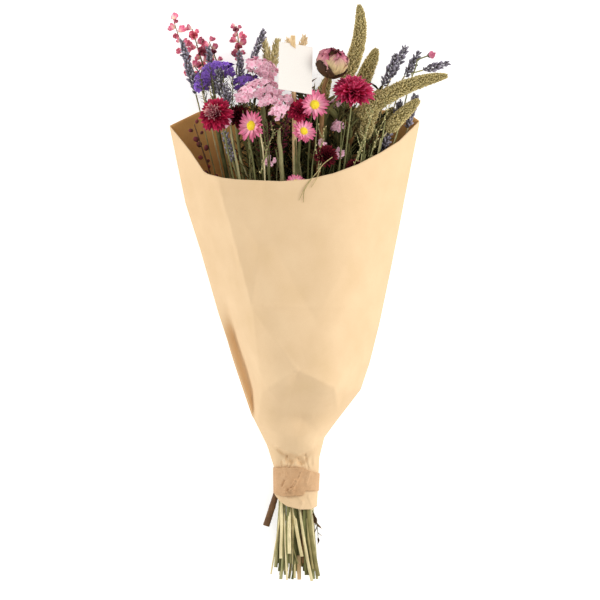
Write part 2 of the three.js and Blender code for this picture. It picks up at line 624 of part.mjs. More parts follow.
place("pink_bud", "pink_petals", flowerBud(pinkBud.radius), v3(pinkBud.at), v3(pinkBud.facing).normalize());
grow(pinkBud.bunch, v3(pinkBud.at).addScaledVector(v3(pinkBud.facing).normalize(), -seatGap), v3(pinkBud.facing), 1.1);

// Heads that share their stem's colour and body.
const heads = new Map();
const addHead = (bunch, solid) => heads.set(bunch, [...(heads.get(bunch) ?? []), solid]);
for (const spike of lavenders) {
  const direction = v3(spike.tip).sub(v3(spike.base)).normalize();
  addHead(spike.bunch, lavenderSpike(spike));
  grow(spike.bunch, v3(spike.base).addScaledVector(direction, 2), direction, 1.1);
}
const milletLook = { rows: 14, sides: 6, bump: 0.13, shoulder: 5 };
const plumeLook = { rows: 7, sides: 4, bump: 0.3, shoulder: 3 };
for (const head of setarias) {
  const direction = v3(head.bend).sub(v3(head.base)).normalize();
  addHead(head.name, seedHead(head, milletLook));
  grow(head.name, v3(head.base).addScaledVector(direction, 2), direction, 1.6);
}
for (const { base, tips, radius } of paleGrasses) {
  for (const tip of tips) addHead("pale_grass", seedHead({ base, tip, radius }, plumeLook));
  grow("pale_grass", v3(base).add(new THREE.Vector3(0, 1.5, 0)), new THREE.Vector3(0, 1, 0), 1.2);
}
addHead("seed_twig", seedTwig(seedSpray));
grow("seed_twig", v3(seedSpray.base).add(new THREE.Vector3(-0.4, 1.5, 0)), new THREE.Vector3(-0.3, 1, 0), 1.6);
addHead("stray_grass", rod(new THREE.CatmullRomCurve3(strayGrass.map(v3)), 8, 4, (share) => 1 - 0.3 * share));
grow("stray_grass", v3(strayGrass[1]).add(new THREE.Vector3(0, 0.6, 0)), new THREE.Vector3(0, 1, 0.1), 1);
const peonyFrame = new THREE.Object3D();
peonyFrame.position.copy(v3(peony.at));
peonyFrame.quaternion.setFromUnitVectors(new THREE.Vector3(0, 0, 1), v3(peony.facing).normalize());
peonyFrame.updateMatrix();
addHead("peony", peonyCup(peony.radius).transform(peonyFrame.matrix.elements));
for (const [bunch, branches] of forks) branches.forEach((branch) => addHead(bunch, branch));

grow("card_stick", v3(stick.tip), new THREE.Vector3(0, 1, 0.15), 2.2);

// Each bunch gets a slot in the tie. It starts far out, in the direction of its heads, and is then gathered in.
function tieSlots() {
  const bunches = new Map();
  for (const strand of strands) bunches.set(strand.bunch, [...(bunches.get(strand.bunch) ?? []), strand]);
  const members = [...bunches.values()].map((list) => {
    const middle = list.reduce((sum, { end }) => sum.add(end), new THREE.Vector3()).divideScalar(list.length);
    const bearing = [(middle.x - tieCentre.x) / middle.y, (middle.z - tieCentre.y) / middle.y];
    const slot = new THREE.Vector3(
      tieCentre.x + (bearing[0] - gatherMiddle[0]) * gatherSpread[0], 0,
      tieCentre.y + (bearing[1] - gatherMiddle[1]) * gatherSpread[1]);
    return { list, middle, slot };
  });
  pressTogether(members);
  for (const { list, middle, slot } of members) {
    const sideOf = ({ end }) => Math.atan2(end.z / end.y - middle.z / middle.y, end.x / end.y - middle.x / middle.y);
    const sorted = [...list].sort((a, b) => sideOf(a) - sideOf(b));
    const off = ringOf(list.length);
    sorted.forEach((strand, i) => {
      const angle = sideOf(sorted[0]) + (2 * Math.PI * i) / list.length;
      strand.tieRadius = list.length > 1 ? sharedStem : loneStem;
      strand.slot = slot.clone().add(new THREE.Vector3(off * Math.cos(angle), 0, off * Math.sin(angle)));
    });
  }
  return bunches;
}

// How far several stems in one slot stand from its middle.
const ringOf = (stems) => (stems > 1 ? strandRing / Math.sin(Math.PI / stems) : 0);

// The slots close up towards the middle of the tie until their stems touch, as an oval bundle in its paper.
function pressTogether(members) {
  const radiusOf = ({ list }) => (list.length > 1 ? ringOf(list.length) + sharedStem : loneStem);
  for (let pass = 0; pass < gatherPasses; pass++) {
    const pull = pass < 0.8 * gatherPasses ? 0.01 : 0;
    for (const { slot } of members) {
      slot.x -= pull * (slot.x - tieCentre.x);
      slot.z -= pull * (slot.z - tieCentre.y);
    }
    members.forEach((a, i) => members.slice(i + 1).forEach((b) => {
      const apart = b.slot.clone().sub(a.slot);
      const lack = radiusOf(a) + radiusOf(b) + tieGap - apart.length();
      if (lack <= 0) return;
      apart.setLength(lack / 2);
      a.slot.sub(apart);
      b.slot.add(apart);
    }));
    for (const member of members) {
      const off = new THREE.Vector2(member.slot.x - tieCentre.x, member.slot.z - tieCentre.y);
      const room = tieRoom.clone().subScalar(radiusOf(member));
      const reach = Math.hypot(off.x / room.x, off.y / room.y);
      if (reach <= 1 || pull) continue;
      member.slot.x = tieCentre.x + off.x / reach;
      member.slot.z = tieCentre.y + off.y / reach;
    }
  }
}

// Stems taper from the tie to their heads.
const radiusAt = ({ tieRadius, radius }, y) => lerp(tieRadius, radius, THREE.MathUtils.clamp(y / taperEnd, 0, 1));

// The points of a stem: its cut end, the tie, the stations that it passes, and the bend to its head.
function layStem(strand, k) {
  const { slot, end, direction } = strand;
  const cut = new THREE.Vector3(
    tieCentre.x + (slot.x - tieCentre.x) * splay, cutEndY - 4 * Math.sin(k * 2.4), slot.z);
  const low = slot.clone().setY(splayFrom);
  const high = slot.clone().setY(tieEnd);
  const corner = end.clone().addScaledVector(direction, -bendLength);
  const shoulder = corner.clone().add(high.clone().sub(corner).setLength(bendLength * 1.3));
  if (strand.bunch === "card_stick") {
    strand.passes = stations.map((y) => stickPoint(y, slot));
    strand.points = [cut, low, high, ...strand.passes, stickPoint(stick.foot + 4, slot)];
    strand.direction = strand.points.at(-1).clone().sub(high).normalize();
    addHead("card_stick", splitEnd(slot));
    return;
  }
  strand.passes = stations.filter((y) => y < shoulder.y - 12).map((y) =>
    high.clone().lerp(shoulder, (y - high.y) / (shoulder.y - high.y)));
  const bend = new THREE.QuadraticBezierCurve3(shoulder, corner, end);
  const turning = corner.clone().sub(shoulder).angleTo(direction) > 0.5 ? [bend.getPoint(0.55)] : [];
  strand.points = [cut, low, high, ...strand.passes, shoulder, ...turning, end];
}

// Stems that would touch move aside at each station, and keep inside the paper.
function spreadStems() {
  for (let pass = 0; pass < 60; pass++) {
    stations.forEach((y, station) => {
      const room = paperDepth(y) + seatGap + 0.4;
      const here = strands.filter((strand) => strand.passes[station]);
      here.forEach((a, i) => here.slice(i + 1).forEach((b) => {
        const [p, q] = [a.passes[station], b.passes[station]];
        const apart = q.clone().sub(p);
        const lack = radiusAt(a, y) + radiusAt(b, y) + seatGap - apart.length();
        if (lack <= 0) return;
        const shareOfA = a.bunch === "card_stick" ? 0 : b.bunch === "card_stick" ? 1 : 0.5; // the stick is stiff
        apart.setLength(lack);
        p.addScaledVector(apart, -shareOfA);
        q.addScaledVector(apart, 1 - shareOfA);
      }));
      for (const strand of here) {
        if (strand.bunch === "card_stick") continue;
        const { passes } = strand;
        const clear = radiusAt(strand, y) + room;
        const p = passes[station];
        const [left, right] = [along(leftEdge, y), along(rightEdge, y)];
        const across = THREE.MathUtils.clamp((2 * (p.x - left)) / (right - left) - 1, -0.88, 0.88);
        p.x = lerp(left, right, (across + 1) / 2);
        p.z = THREE.MathUtils.clamp(p.z, backZ(across, y) + clear, frontZ(across, y) - clear);
      }
    });
  }
}

// A stem needs no ring where it runs straight on.
function straighten({ points, passes }) {
  for (const point of passes) {
    const k = points.indexOf(point);
    const line = new THREE.Line3(points[k - 1], points[k + 1]);
    if (line.closestPointToPoint(point, true, new THREE.Vector3()).distanceTo(point) < 0.1) points.splice(k, 1);
  }
}

// A round rod through points, whose rings stand square to the bouquet's length until its bend.
function stemRod(strand, sides = 5) {
  const { points, direction: last } = strand;
  return loft(points.map((point, k) => {
    const before = points[Math.max(0, k - 1)];
    const after = points[Math.min(k + 1, points.length - 1)];
    const direction = k < points.length - 1 ? after.clone().sub(before).normalize() : last;
    const across = new THREE.Vector3(1, 0, 0).addScaledVector(direction, -direction.x).normalize();
    const up = across.clone().cross(direction);
    return ring(point, across, up, even(sides, radiusAt(strand, point.y)), Math.PI / 2);
  }));
}

const stemSlots = {
  lavender_left: "lavender", lavender_upright: "lavender", lavender_front: "lavender", lavender_right: "lavender",
  lavender_far: "lavender", lavender_low: "lavender", pale_grass: "pale_grass", seed_twig: "seed_brown",
  stray_grass: "straw_stem", peony: "peony_brown",
};
const plainNames = { peony: "peony_sepals_and_stem" };

const bouquet = new THREE.Group();
function show(name, slot, solid) {
  const { numProp, vertProperties, triVerts, numVert } = solid.getMesh();
  const corners = new Float32Array(numVert * 3);
  for (let i = 0; i < numVert; i++) corners.set(vertProperties.subarray(i * numProp, i * numProp + 3), i * 3);
  const geometry = new THREE.BufferGeometry()
    .setAttribute("position", new THREE.BufferAttribute(corners, 3))
    .setIndex(new THREE.BufferAttribute(new Uint32Array(triVerts), 1));
  const mesh = new THREE.Mesh(geometry, materials[slot]);
  mesh.name = name;
  bouquet.add(mesh);
  return mesh;
}

show("kraft_paper_wrap", "kraft_paper", paperWrap());
show("paper_tape", "paper_tape", paperTape());
const cardMesh = new THREE.Mesh(
  new THREE.BoxGeometry(card.width, card.height, card.thickness), materials.card);
cardMesh.name = "gift_card";
cardMesh.position.set(...card.at);
cardMesh.rotation.set(...card.turn);
bouquet.add(cardMesh);

for (const { name, slot, solid, at, facing } of blooms) {
  const mesh = show(name, slot, solid);
  if (!at) continue;
  mesh.position.copy(at);
  mesh.quaternion.setFromUnitVectors(new THREE.Vector3(0, 0, 1), facing);
}

const bunches = tieSlots();
strands.forEach(layStem);
spreadStems();
strands.forEach(straighten);
for (const [bunch, list] of bunches) {
  const parts = [...list.map((strand) => stemRod(strand)), ...(heads.get(bunch) ?? [])];
  const headless = !heads.has(bunch) || forks.has(bunch);
  const slot = bunch === "card_stick" ? "wood" : stemSlots[bunch]
    ?? (bunch.startsWith("setaria") ? "setaria" : "green_stem");
  const stemName = headless ? `${bunch}_${list.length > 1 ? "stems" : "stem"}` : bunch;
  show(plainNames[bunch] ?? stemName, slot, parts.length > 1 ? union(parts) : parts[0]);
}

export default bouquet;
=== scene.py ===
# A bouquet of mixed dried flowers in a folded kraft paper wrap. It lies on its back on a pale floor,
# and the camera looks straight down on it. Points and lengths in the tables are in millimetres.
import math
import random

import bpy
import numpy as np
from mathutils import Matrix, Vector, noise
from mathutils.geometry import delaunay_2d_cdt


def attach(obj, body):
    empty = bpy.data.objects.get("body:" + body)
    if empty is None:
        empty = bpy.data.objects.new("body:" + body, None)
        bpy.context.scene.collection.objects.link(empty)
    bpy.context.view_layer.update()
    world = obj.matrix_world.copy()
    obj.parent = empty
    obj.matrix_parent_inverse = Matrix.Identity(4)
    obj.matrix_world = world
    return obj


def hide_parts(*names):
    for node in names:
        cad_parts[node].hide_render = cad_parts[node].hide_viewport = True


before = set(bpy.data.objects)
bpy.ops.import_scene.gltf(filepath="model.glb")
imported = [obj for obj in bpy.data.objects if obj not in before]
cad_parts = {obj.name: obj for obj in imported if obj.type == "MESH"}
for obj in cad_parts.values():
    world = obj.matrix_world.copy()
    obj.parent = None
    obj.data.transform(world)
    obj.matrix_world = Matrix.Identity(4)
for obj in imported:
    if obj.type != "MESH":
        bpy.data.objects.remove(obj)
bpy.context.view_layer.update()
scene = bpy.context.scene

MM = 0.001
GOLDEN_TURN = (3 - math.sqrt(5)) / 2  # of a full turn, between one petal and the next
BODY = "root"

# Everlasting daisies, strawflowers and the peony: where the stem ends, which way the head faces, its
# radius. The pink bud has no radius.
EVERLASTINGS = {
    "left": ((-42, 353, 100), (-0.62, 0.08, 0.78), 15.5),
    "middle": ((8, 347, 103), (0.4, 0.35, 0.85), 12.5),
    "right": ((19, 374, 93.5), (0.25, 0.1, 0.95), 14.5),
    "rim": ((1, 296, 91), (0, 0.7, 0.71), 10),
}
STRAWFLOWERS = {
    "left": ((-77, 363, 86), (-0.3, 0.25, 0.92), 16.5),
    "shaded": ((-57, 362, 58), (0.2, 0.3, 0.93), 12),
    "right": ((57, 380, 82), (0.1, 0.86, 0.5), 19),
    "middle": ((4.5, 367, 84.5), (0, 0.3, 0.95), 11.5),
    "low": ((30, 322, 78), (0.1, 0.4, 0.91), 11.5),
    "rim": ((60, 309, 64), (0.1, 0.6, 0.79), 10),
}
PEONY = ((32, 402, 80), (0.3, 0.86, 0.42), 15)
PINK_BUD = ((133, 424, 56), (0.9, 0.3, 0.3))
# Statice clusters: the path that the florets stand on, and the cluster's radius.
STATICES = {
    "pink_front": ([(-57, 379, 84), (-46, 386, 86), (-32, 392, 86), (-14, 387, 84)], 8),
    "pink_low": ([(-21, 362, 94), (-15, 367, 95), (-11, 374, 94)], 7.5),
    "pink_back": ([(-47, 413, 66), (-33, 413, 68), (-20, 404, 70)], 8.5),
    "pink_right": ([(41, 349, 62), (45, 358, 64)], 6),
    "purple_left": ([(-93, 390, 58), (-90, 402, 60), (-78, 409, 62), (-64, 409, 62)], 8.5),
    "purple_middle": ([(-60, 393, 64), (-49, 397, 66), (-38, 398, 64)], 7.5),
}
STATICE_FACING = Vector((0, 0.58, 0.81)).normalized()
# Larkspur spikes: base, bend and tip, the number of florets and their size.
LARKSPURS = {
    "left": ((-99, 404, 30), (-113, 430, 31), (-122, 462, 32), 13, 7.6),
    "behind": ((-91, 412, 20), (-97, 430, 20), (-103, 452, 22), 11, 8.2),
    "short": ((-76, 412, 30), (-80, 424, 30), (-86, 439, 32), 7, 7),
    "middle": ((-57, 420, 36), (-55, 434, 36), (-59, 455, 34), 11, 7),
}
# Lavender: the base and tip of each spike of a bunch.
LAVENDERS = {
    "left": [((-99, 386, 46), (-113, 439, 50)), ((-80, 386, 38), (-87, 432, 42))],
    "upright": [((-53, 392, 48), (-55, 427, 50)), ((-44, 416, 48), (-31, 449, 50))],
    "front": [((-74, 384, 66), (-77, 408, 72)), ((-67, 372, 75), (-69, 394, 81)),
              ((-61, 317, 56), (-70, 346, 60))],
    "right": [((96, 402, 52), (110, 432, 56)), ((88, 394, 52), (101, 424, 58)),
              ((110, 404, 40), (124, 427, 44))],
    "far": [((128, 410, 44), (152, 417, 42))],
    "low": [((113, 352, 30), (121, 385, 32)), ((94, 346, 44), (106, 378, 46)),
            ((86, 326, 46), (95, 350, 48))],
}
# Foxtail millet: base, bend and tip of each head, and its radius.
MILLETS = {
    "upright": ((48, 398, 52), (71, 438, 54), (64, 475, 52), 7),
    "right": ((64, 362, 66), (98, 396, 68), (152, 404, 62), 8),
    "back": ((62, 388, 28), (72, 408, 28), (82, 432, 26), 7.5),
    "left": ((22, 366, 40), (27, 386, 40), (34, 404, 38), 6.5),
    "low": ((92, 348, 56), (106, 366, 56), (124, 380, 54), 6.5),
}
# Millet heads behind those, which the CAD part doesn't have.
MILLETS_BEHIND = [
    ((48, 336, 40), (60, 362, 46), (86, 390, 48), 7.5), ((70, 326, 36), (80, 350, 40), (99, 372, 42), 7),
    ((38, 356, 34), (48, 378, 36), (58, 396, 34), 7), ((68, 340, 58), (74, 360, 64), (84, 382, 62), 6.5),
]
# Small pink statice clusters between the flowers.
STATICE_BITS = [
    ([(26, 334, 72), (30, 338, 74)], 5), ([(42, 322, 70), (46, 330, 70)], 5),
    ([(-27, 314, 74), (-23, 322, 76)], 5.5), ([(-71, 356, 70), (-64, 358, 72)], 5),
    ([(-36, 377, 86), (-24, 379, 88), (-14, 380, 88)], 6.5), ([(-11, 376, 88), (-4, 381, 86)], 6),
    ([(-30, 399, 72), (-24, 394, 74)], 6), ([(37, 374, 58), (44, 377, 58)], 5),
]
# Plumes of pale grass: base and tip. The first two are a little darker.
PALE_GRASSES = [((-24, 409, 42), (-31, 440, 43)), ((-24, 409, 42), (-17, 441, 40)),
                ((1, 410, 42), (-7, 441, 42)), ((1, 410, 42), (10, 444, 42))]
SEED_TWIG = [(-80, 290, 40), (-90, 326, 42), (-101, 356, 42)]
# Branches with leaves between the flowers: base, bend and tip. The grey ones have a tint of their own.
GREY_BRANCHES = [
    ((-84, 362, 60), (-90, 386, 72), (-96, 408, 68), 0.2),
    ((-78, 366, 62), (-82, 388, 74), (-84, 411, 70), 0.4),
    ((-70, 360, 64), (-72, 384, 76), (-72, 408, 72), 0.3),
    ((-64, 362, 60), (-62, 384, 76), (-63, 402, 74), 0.5),
    ((-58, 362, 60), (-55, 382, 72), (-50, 400, 72), 0.3),
    ((-54, 368, 60), (-47, 388, 72), (-41, 404, 70), 0.2),
]
BRANCHES = {
    "brown_broad_leaves": [((50, 306, 50), (54, 322, 60), (56, 346, 62)),
                           ((66, 312, 46), (72, 328, 54), (76, 350, 58)),
                           ((20, 296, 50), (22, 312, 58), (20, 334, 60))],
    "wine_leaves": [((-33, 322, 58), (-32, 338, 66), (-26, 356, 70)),
                    ((-16, 322, 58), (-14, 340, 66), (-8, 362, 72)),
                    ((22, 316, 56), (24, 330, 62), (24, 348, 66))],
    "broad_leaves": [((30, 296, 44), (26, 326, 52), (30, 360, 58)),
                     ((44, 300, 40), (46, 330, 50), (42, 366, 56)),
                     ((18, 300, 40), (20, 330, 46), (24, 362, 50))],
    "low_broad_leaves": [((26, 280, 44), (32, 306, 50), (36, 330, 54)),
                         ((0, 280, 44), (4, 306, 48), (10, 330, 50))],
}
# Thin panicles in front of the flowers: base, bend and tip.
PANICLES = [
    ((56, 306, 84), (66, 336, 82), (84, 386, 80)), ((62, 318, 78), (72, 346, 80), (76, 372, 82)),
    ((74, 320, 70), (84, 350, 70), (98, 382, 72)), ((24, 300, 84), (22, 326, 90), (30, 352, 84)),
    ((-34, 306, 84), (-30, 336, 86), (-14, 352, 84)),
]
# Stray grass over the rim: the blade's points and their number on the curve, its radius at the root
# and how much of it is lost towards the tip, and its tint.
STRAY_GRASS = [
    ([(37, 322, 96), (28, 315, 97), (21, 306, 106), (14, 298, 105)], 20, 0.45, 0.2, 0.5),
    ([(14, 298, 105), (9, 288, 105.5), (8.5, 277, 105)], 10, 0.5, 0.3, 0.2),
    ([(16, 300, 105), (9, 290, 106), (4, 279, 105)], 10, 0.5, 0.3, 0.4),
    ([(26, 313, 98), (21, 300, 105), (16, 292, 105)], 10, 0.4, 0.2, 0.4),
]
# Loose straws below the tie: x at the tie, x and Y of the cut end, height there, radius and tint.
STRAWS = [
    (-13, (-24, -95), 22, 0.8, 0.75), (-13, (-14, -79), 26, 1.6, 0.95), (-11, (-8, -101), 27, 1, 0.95),
    (-6, (-5.5, -74), 30, 1.9, 1), (-2, (-1, -99), 26, 1.8, 0.6), (-3, (7, -77), 31, 1.7, 0.75),
    (3, (16.5, -102), 28, 1.6, 0.85), (11, (23, -97), 24, 2.1, 0.05), (-13, (3, -84), 31, 0.6, 0),
    (9, (18, -90), 25, 1.2, 0.3),
]

# The wrap's outlines and heights as (along Y, value) pairs, and its rims and hems as (across, along Y)
# pairs, where across runs from -1, the left fold, to 1, the right one.
LEFT_EDGE = [(-30, -20.5), (12, -21), (34, -28), (62, -42), (115, -60), (167, -77), (230, -95),
             (277, -110), (354, -126)]
RIGHT_EDGE = [(-30, 22), (22, 24.5), (42, 29.5), (55, 39), (90, 66), (117, 75), (157, 85), (205, 95),
              (255, 105), (307, 115), (357, 125)]
FRONT_HEIGHT = [(-30, 32.2), (12, 33.2), (20, 35.8), (27, 40.3), (38, 46.5), (60, 55), (68, 62), (92, 84),
                (130, 92), (200, 98), (300, 103), (360, 105)]
SIDE_HEIGHT = [(-30, 16.6), (24, 16.6), (70, 15), (140, 13), (360, 14)]
FRONT_RIM = [(-1, 355), (-0.87, 329), (-0.785, 308.5), (-0.75, 305.5), (-0.62, 301.5), (-0.5, 299.8),
             (-0.12, 298), (0.12, 300), (0.34, 306), (0.54, 315), (0.72, 327), (0.86, 339), (1, 360)]
BACK_RIM = [(-1, 355), (-0.76, 370), (-0.3, 376), (0.3, 376), (0.8, 370), (0.93, 366), (1, 360)]
FRONT_HEM = [(-1, -15), (-0.75, -22), (-0.4, -27), (0.2, -30), (0.7, -30), (1, -27)]
BACK_HEM = [(-1, -15), (0, -22), (1, -27)]
SHEET_THICKNESS = 0.6
NECK_THICKNESS = 1.8  # added in the gathered neck, where several layers lie on each other
# The ridge at the left, beside which the sheet is tucked under: (along Y, x) pairs.
LEFT_RIDGE = [(50, -38), (60, -38), (72, -38.5), (90, -39.5), (110, -45), (140, -55), (170, -63),
              (205, -72)]
# Creases of the front, from end to end.
PRESSED_FOLDS = [((-87, 330), (-45, 177)), ((-43, 174), (84, 172)), ((-41, 169), (2, 110)),
                 ((2, 110), (40, 92)), ((40, 92), (43, 69)), ((-37, 58), (-8, 68)), ((-8, 68), (17, 64)),
                 ((17, 64), (43, 69)), ((-42, 168), (-34, 90)), ((-28, 92), (2, 110)),
                 ((-75, 300), (-58, 190))]
LIP_FOLDS = [((-17, 32), (-7, 26)), ((-7, 26), (3, 23.5)), ((3, 23.5), (17, 31))]
HEM_FOLDS = [((2, -16), (7, -23)), ((7, -23), (18, -20)), ((7, -23), (5, -29)), ((13, -17), (16, -25)),
             ((-10, -17), (-5, -22))]
GATHERED_FOLDS = [((-17, 30), (-8, 24)), ((-8, 24), (3, 21)), ((3, 21), (10, 25)), ((-8, 24), (-8, 14)),
                  ((-2, 19), (-5, 13)), ((10, 25), (13, 12)), ((-13, 18), (-12.5, 13)), ((2, 20), (6, 15))]
# For each group of creases: its rise, and its reach on the upper or right side and on the other one.
CREASES = [(PRESSED_FOLDS, 0.7, 3.2, 3.2), (LIP_FOLDS, 1.6, 4, 1.4), (HEM_FOLDS, 1.0, 3, 1.4),
           (GATHERED_FOLDS, -1.7, 1.7, 1.7)]
# How far the front stands out of its smooth shape at the corners of its facets: x, along Y, rise.
FACET_CORNERS = [
    (-150, 0, 0), (150, 0, 0), (150, 400, 0), (-150, 400, 0), (-86, 345, 16), (-78, 302, 18),
    (-43, 172, 15.5), (-91, 255, 6), (-61, 185, 11), (-55, 158, 10), (-34, 105, 14), (-27.5, 92, 15),
    (3, 110, 10), (40, 91.5, 16), (43, 69, 9), (7, 63, -3), (-8, 68, -2), (-37.5, 59, 5), (-34, 87, 12),
    (20, 160, 5), (86, 158, -1), (-62, 142, -5), (-49, 100, -9), (-42, 76, -8), (-36, 51, -1),
    (-30, 300, 2), (-22, 235, 1), (40, 330, 2), (60, 230, 4), (58, 120, 4), (-18, 47, 3), (3, 43, 4),
    (21, 47, 4), (-33, 45, 0), (-18, 33, 3.2), (3, 25, 4), (17, 31, 3.6), (29, 41, 0.5),
    (-17.5, 30.8, -1), (3, 22.8, -1), (16.5, 28.6, -1), (-9, 16, 2), (-4, 19, -3), (-1, 15, 2),
    (8, 17, -3), (11, 14, 1.5), (-60, 232, 12), (-36, 233, 2.2), (88, 281, 3), (101, 262, 0.5),
]
# The paper is folded along these lines, which join corners by their place in the table.
FACET_FOLDS = [(4, 5), (5, 6), (7, 8), (8, 9), (9, 10), (10, 11), (6, 12), (12, 13), (13, 14), (14, 15),
               (15, 16), (16, 17), (17, 18), (18, 11), (6, 19), (19, 20), (21, 22), (22, 23), (23, 24),
               (33, 34), (34, 35), (35, 36), (36, 37), (38, 39), (39, 40), (30, 31), (31, 32), (11, 12)]
# The tape: its edges as (across, along Y) pairs, its ridges with their rise and their reach on either
# side, and its grooves.
FRONT_TAPE_TOP = [(-1, 12), (-0.4, 12.5), (0.3, 12), (0.5, 9), (1, 6)]
FRONT_TAPE_FOOT = [(-1, -14), (-0.5, -17), (0.3, -16), (0.42, -11), (1, -11.5)]
BACK_TAPE_TOP = [(-1, 12), (1, 6)]
BACK_TAPE_FOOT = [(-1, -14), (1, -11.5)]
TAPE_RIDGES = [
    ((7, 10), (2, -2), 3.64, 0.9, 4), ((2, -2), (-2, -10), 3.92, 0.9, 4),
    ((-2, -10), (-8, -13), 2.8, 3.5, 0.9), ((-8, -13), (-11, -8), 1.82, 2.5, 0.9),
    ((14, 8), (11, -4), 1.68, 1.2, 3), ((-9, 12), (-8, 4), 1.4, 0.9, 2.5),
]
TAPE_GROOVES = [((5, 7), (1, -2)), ((1, -2), (-3, -8)), ((-3, -8), (-7, -10.5)), ((-10, -1), (-12, -6))]
GROOVE_DEPTH, GROOVE_REACH = 2.6, 1.3
TAPE_RISE = 1.1  # of the tape's outside over the paper's

# Kinds of node that come up often.
MATH = "ShaderNodeMath"
VECTOR = "ShaderNodeVectorMath"
RANGE = "ShaderNodeMapRange"
NOISE = "ShaderNodeTexNoise"
RAMP = "ShaderNodeValToRGB"
ATTRIBUTE = "ShaderNodeAttribute"


def colour(text):
    """Linear RGBA from an sRGB hex value."""
    parts = [int(text[k:k + 2], 16) / 255 for k in (1, 3, 5)]
    return (*(p / 12.92 if p <= 0.04045 else ((p + 0.055) / 1.055) ** 2.4 for p in parts), 1)


def add(tree, kind, sockets=(), out=0, **settings):
    """Adds a node with its settings and its values or links, and gives one of its outputs."""
    node = tree.nodes.new(kind)
    for name, value in settings.items():
        setattr(node, name, value)
    for key, value in dict(sockets).items():
        if isinstance(value, bpy.types.NodeSocket):
            tree.links.new(value, node.inputs[key])
        else:
            node.inputs[key].default_value = value
    return node.outputs[out] if node.outputs else None


def set_stops(ramp, stops):
    """Fills a colour ramp with (position, hex value) stops."""
    elements = ramp.node.color_ramp.elements
    while len(elements) > 1:
        elements.remove(elements[-1])
    elements[0].position, elements[0].color = stops[0][0], colour(stops[0][1])
    for position, text in stops[1:]:
        elements.new(position).color = colour(text)
    return ramp


# Materials

def new_material(name, roughness, specular=0.25):
    """A named material and its tree."""
    material = bpy.data.materials.new(name)
    material.use_nodes = True
    shader = material.node_tree.nodes["Principled BSDF"]
    shader.inputs["Roughness"].default_value = roughness
    shader.inputs["Specular IOR Level"].default_value = specular
    return material, material.node_tree


def surfaced(material, base, relief=None, strength=0.0, depth=0.0):
    """The material with its colour linked, and a fine relief where it has one. Depth is in millimetres."""
    tree = material.node_tree
    shader = tree.nodes["Principled BSDF"]
    tree.links.new(base, shader.inputs["Base Color"])
    if relief is not None:
        bump = add(tree, "ShaderNodeBump", {"Height": relief, "Strength": strength, "Distance": depth * MM})
        tree.links.new(bump, shader.inputs["Normal"])
    return material


def kraft_paper(name, stops, fibre=0.9, mottle=34):
    """Uncoated sack kraft: matt, slightly mottled, with short fibres that catch the light. The fibres
    are drawn coarser than real ones, so that they show."""
    material, tree = new_material(name, 0.82)
    place = add(tree, "ShaderNodeTexCoord", out=3)
    fibres = add(tree, NOISE, {"Vector": place, "Scale": 1 / (fibre * MM), "Detail": 4, "Roughness": 0.7})
    clouds = add(tree, NOISE, {"Vector": place, "Scale": 1 / (mottle * MM), "Detail": 3})
    blend = add(tree, MATH, {0: fibres, 1: 0.35}, operation="MULTIPLY")
    blend = add(tree, MATH, {0: clouds, 1: 0.65, 2: blend}, operation="MULTIPLY_ADD")
    return surfaced(material, set_stops(add(tree, RAMP, {0: blend}), stops), fibres, 0.25, 0.15)


def petal(name, stops, streak, vary):
    """Dried petals and bracts: papery, streaked along their length, each a little lighter or darker.
    The stops run from the petal's root to its tip."""
    material, tree = new_material(name, 0.7)
    length = add(tree, ATTRIBUTE, out=2, attribute_name="length")
    width = add(tree, ATTRIBUTE, out=2, attribute_name="width")
    shade = add(tree, ATTRIBUTE, out=2, attribute_name="shade")
    base = set_stops(add(tree, RAMP, {0: length}), stops)
    across = add(tree, "ShaderNodeCombineXYZ", {0: width, 1: shade, 2: length})
    across = add(tree, VECTOR, {0: across, 1: (2.6, 40, 0.7)}, operation="MULTIPLY")
    veins = add(tree, NOISE, {"Vector": across, "Scale": 2.2, "Detail": 2})
    light = add(tree, RANGE, {0: veins, 1: 0.25, 2: 0.75, 3: 1 - streak, 4: 1 + streak})
    own = add(tree, RANGE, {0: shade, 1: 0.0, 2: 1.0, 3: 1 - vary, 4: 1 + vary})
    light = add(tree, MATH, {0: light, 1: own}, operation="MULTIPLY")
    return surfaced(material, add(tree, VECTOR, {0: base, 3: light}, operation="SCALE"))


def long_grain(tree, place, width, run, detail):
    """Noise drawn out along Y, as fibres lie in a stem or stick. Width and run are in millimetres."""
    stretched = add(tree, VECTOR, {0: place, 1: (1 / (width * MM), 1 / (run * MM), 1 / (width * MM))},
                    operation="MULTIPLY")
    return add(tree, NOISE, {"Vector": stretched, "Scale": 1, "Detail": detail})


def stalk(name, stops, rib=0.7, run=26, blotch=9):
    """Dried stems: ribbed along their length, from green to straw from one stem to the next."""
    material, tree = new_material(name, 0.66)
    place = add(tree, "ShaderNodeTexCoord", out=3)
    tint = add(tree, ATTRIBUTE, out=2, attribute_name="tint")
    ribs = long_grain(tree, place, rib, run, 3)
    blotches = add(tree, NOISE, {"Vector": place, "Scale": 1 / (blotch * MM), "Detail": 2})
    pick = add(tree, MATH, {0: blotches, 1: 0.5, 2: tint}, operation="MULTIPLY_ADD")
    pick = add(tree, MATH, {0: pick, 1: 0.25}, operation="SUBTRACT")
    base = set_stops(add(tree, RAMP, {0: pick}), stops)
    light = add(tree, RANGE, {0: ribs, 1: 0.3, 2: 0.7, 3: 0.75, 4: 1.25})
    return surfaced(material, add(tree, VECTOR, {0: base, 3: light}, operation="SCALE"), ribs, 0.5, 0.2)


def planed_wood(name, stops, grain=0.8, run=30):
    """Planed birch: pale, with fine grain along the stick."""
    material, tree = new_material(name, 0.6)
    lines = long_grain(tree, add(tree, "ShaderNodeTexCoord", out=3), grain, run, 4)
    return surfaced(material, set_stops(add(tree, RAMP, {0: lines}), stops), lines, 0.3, 0.15)


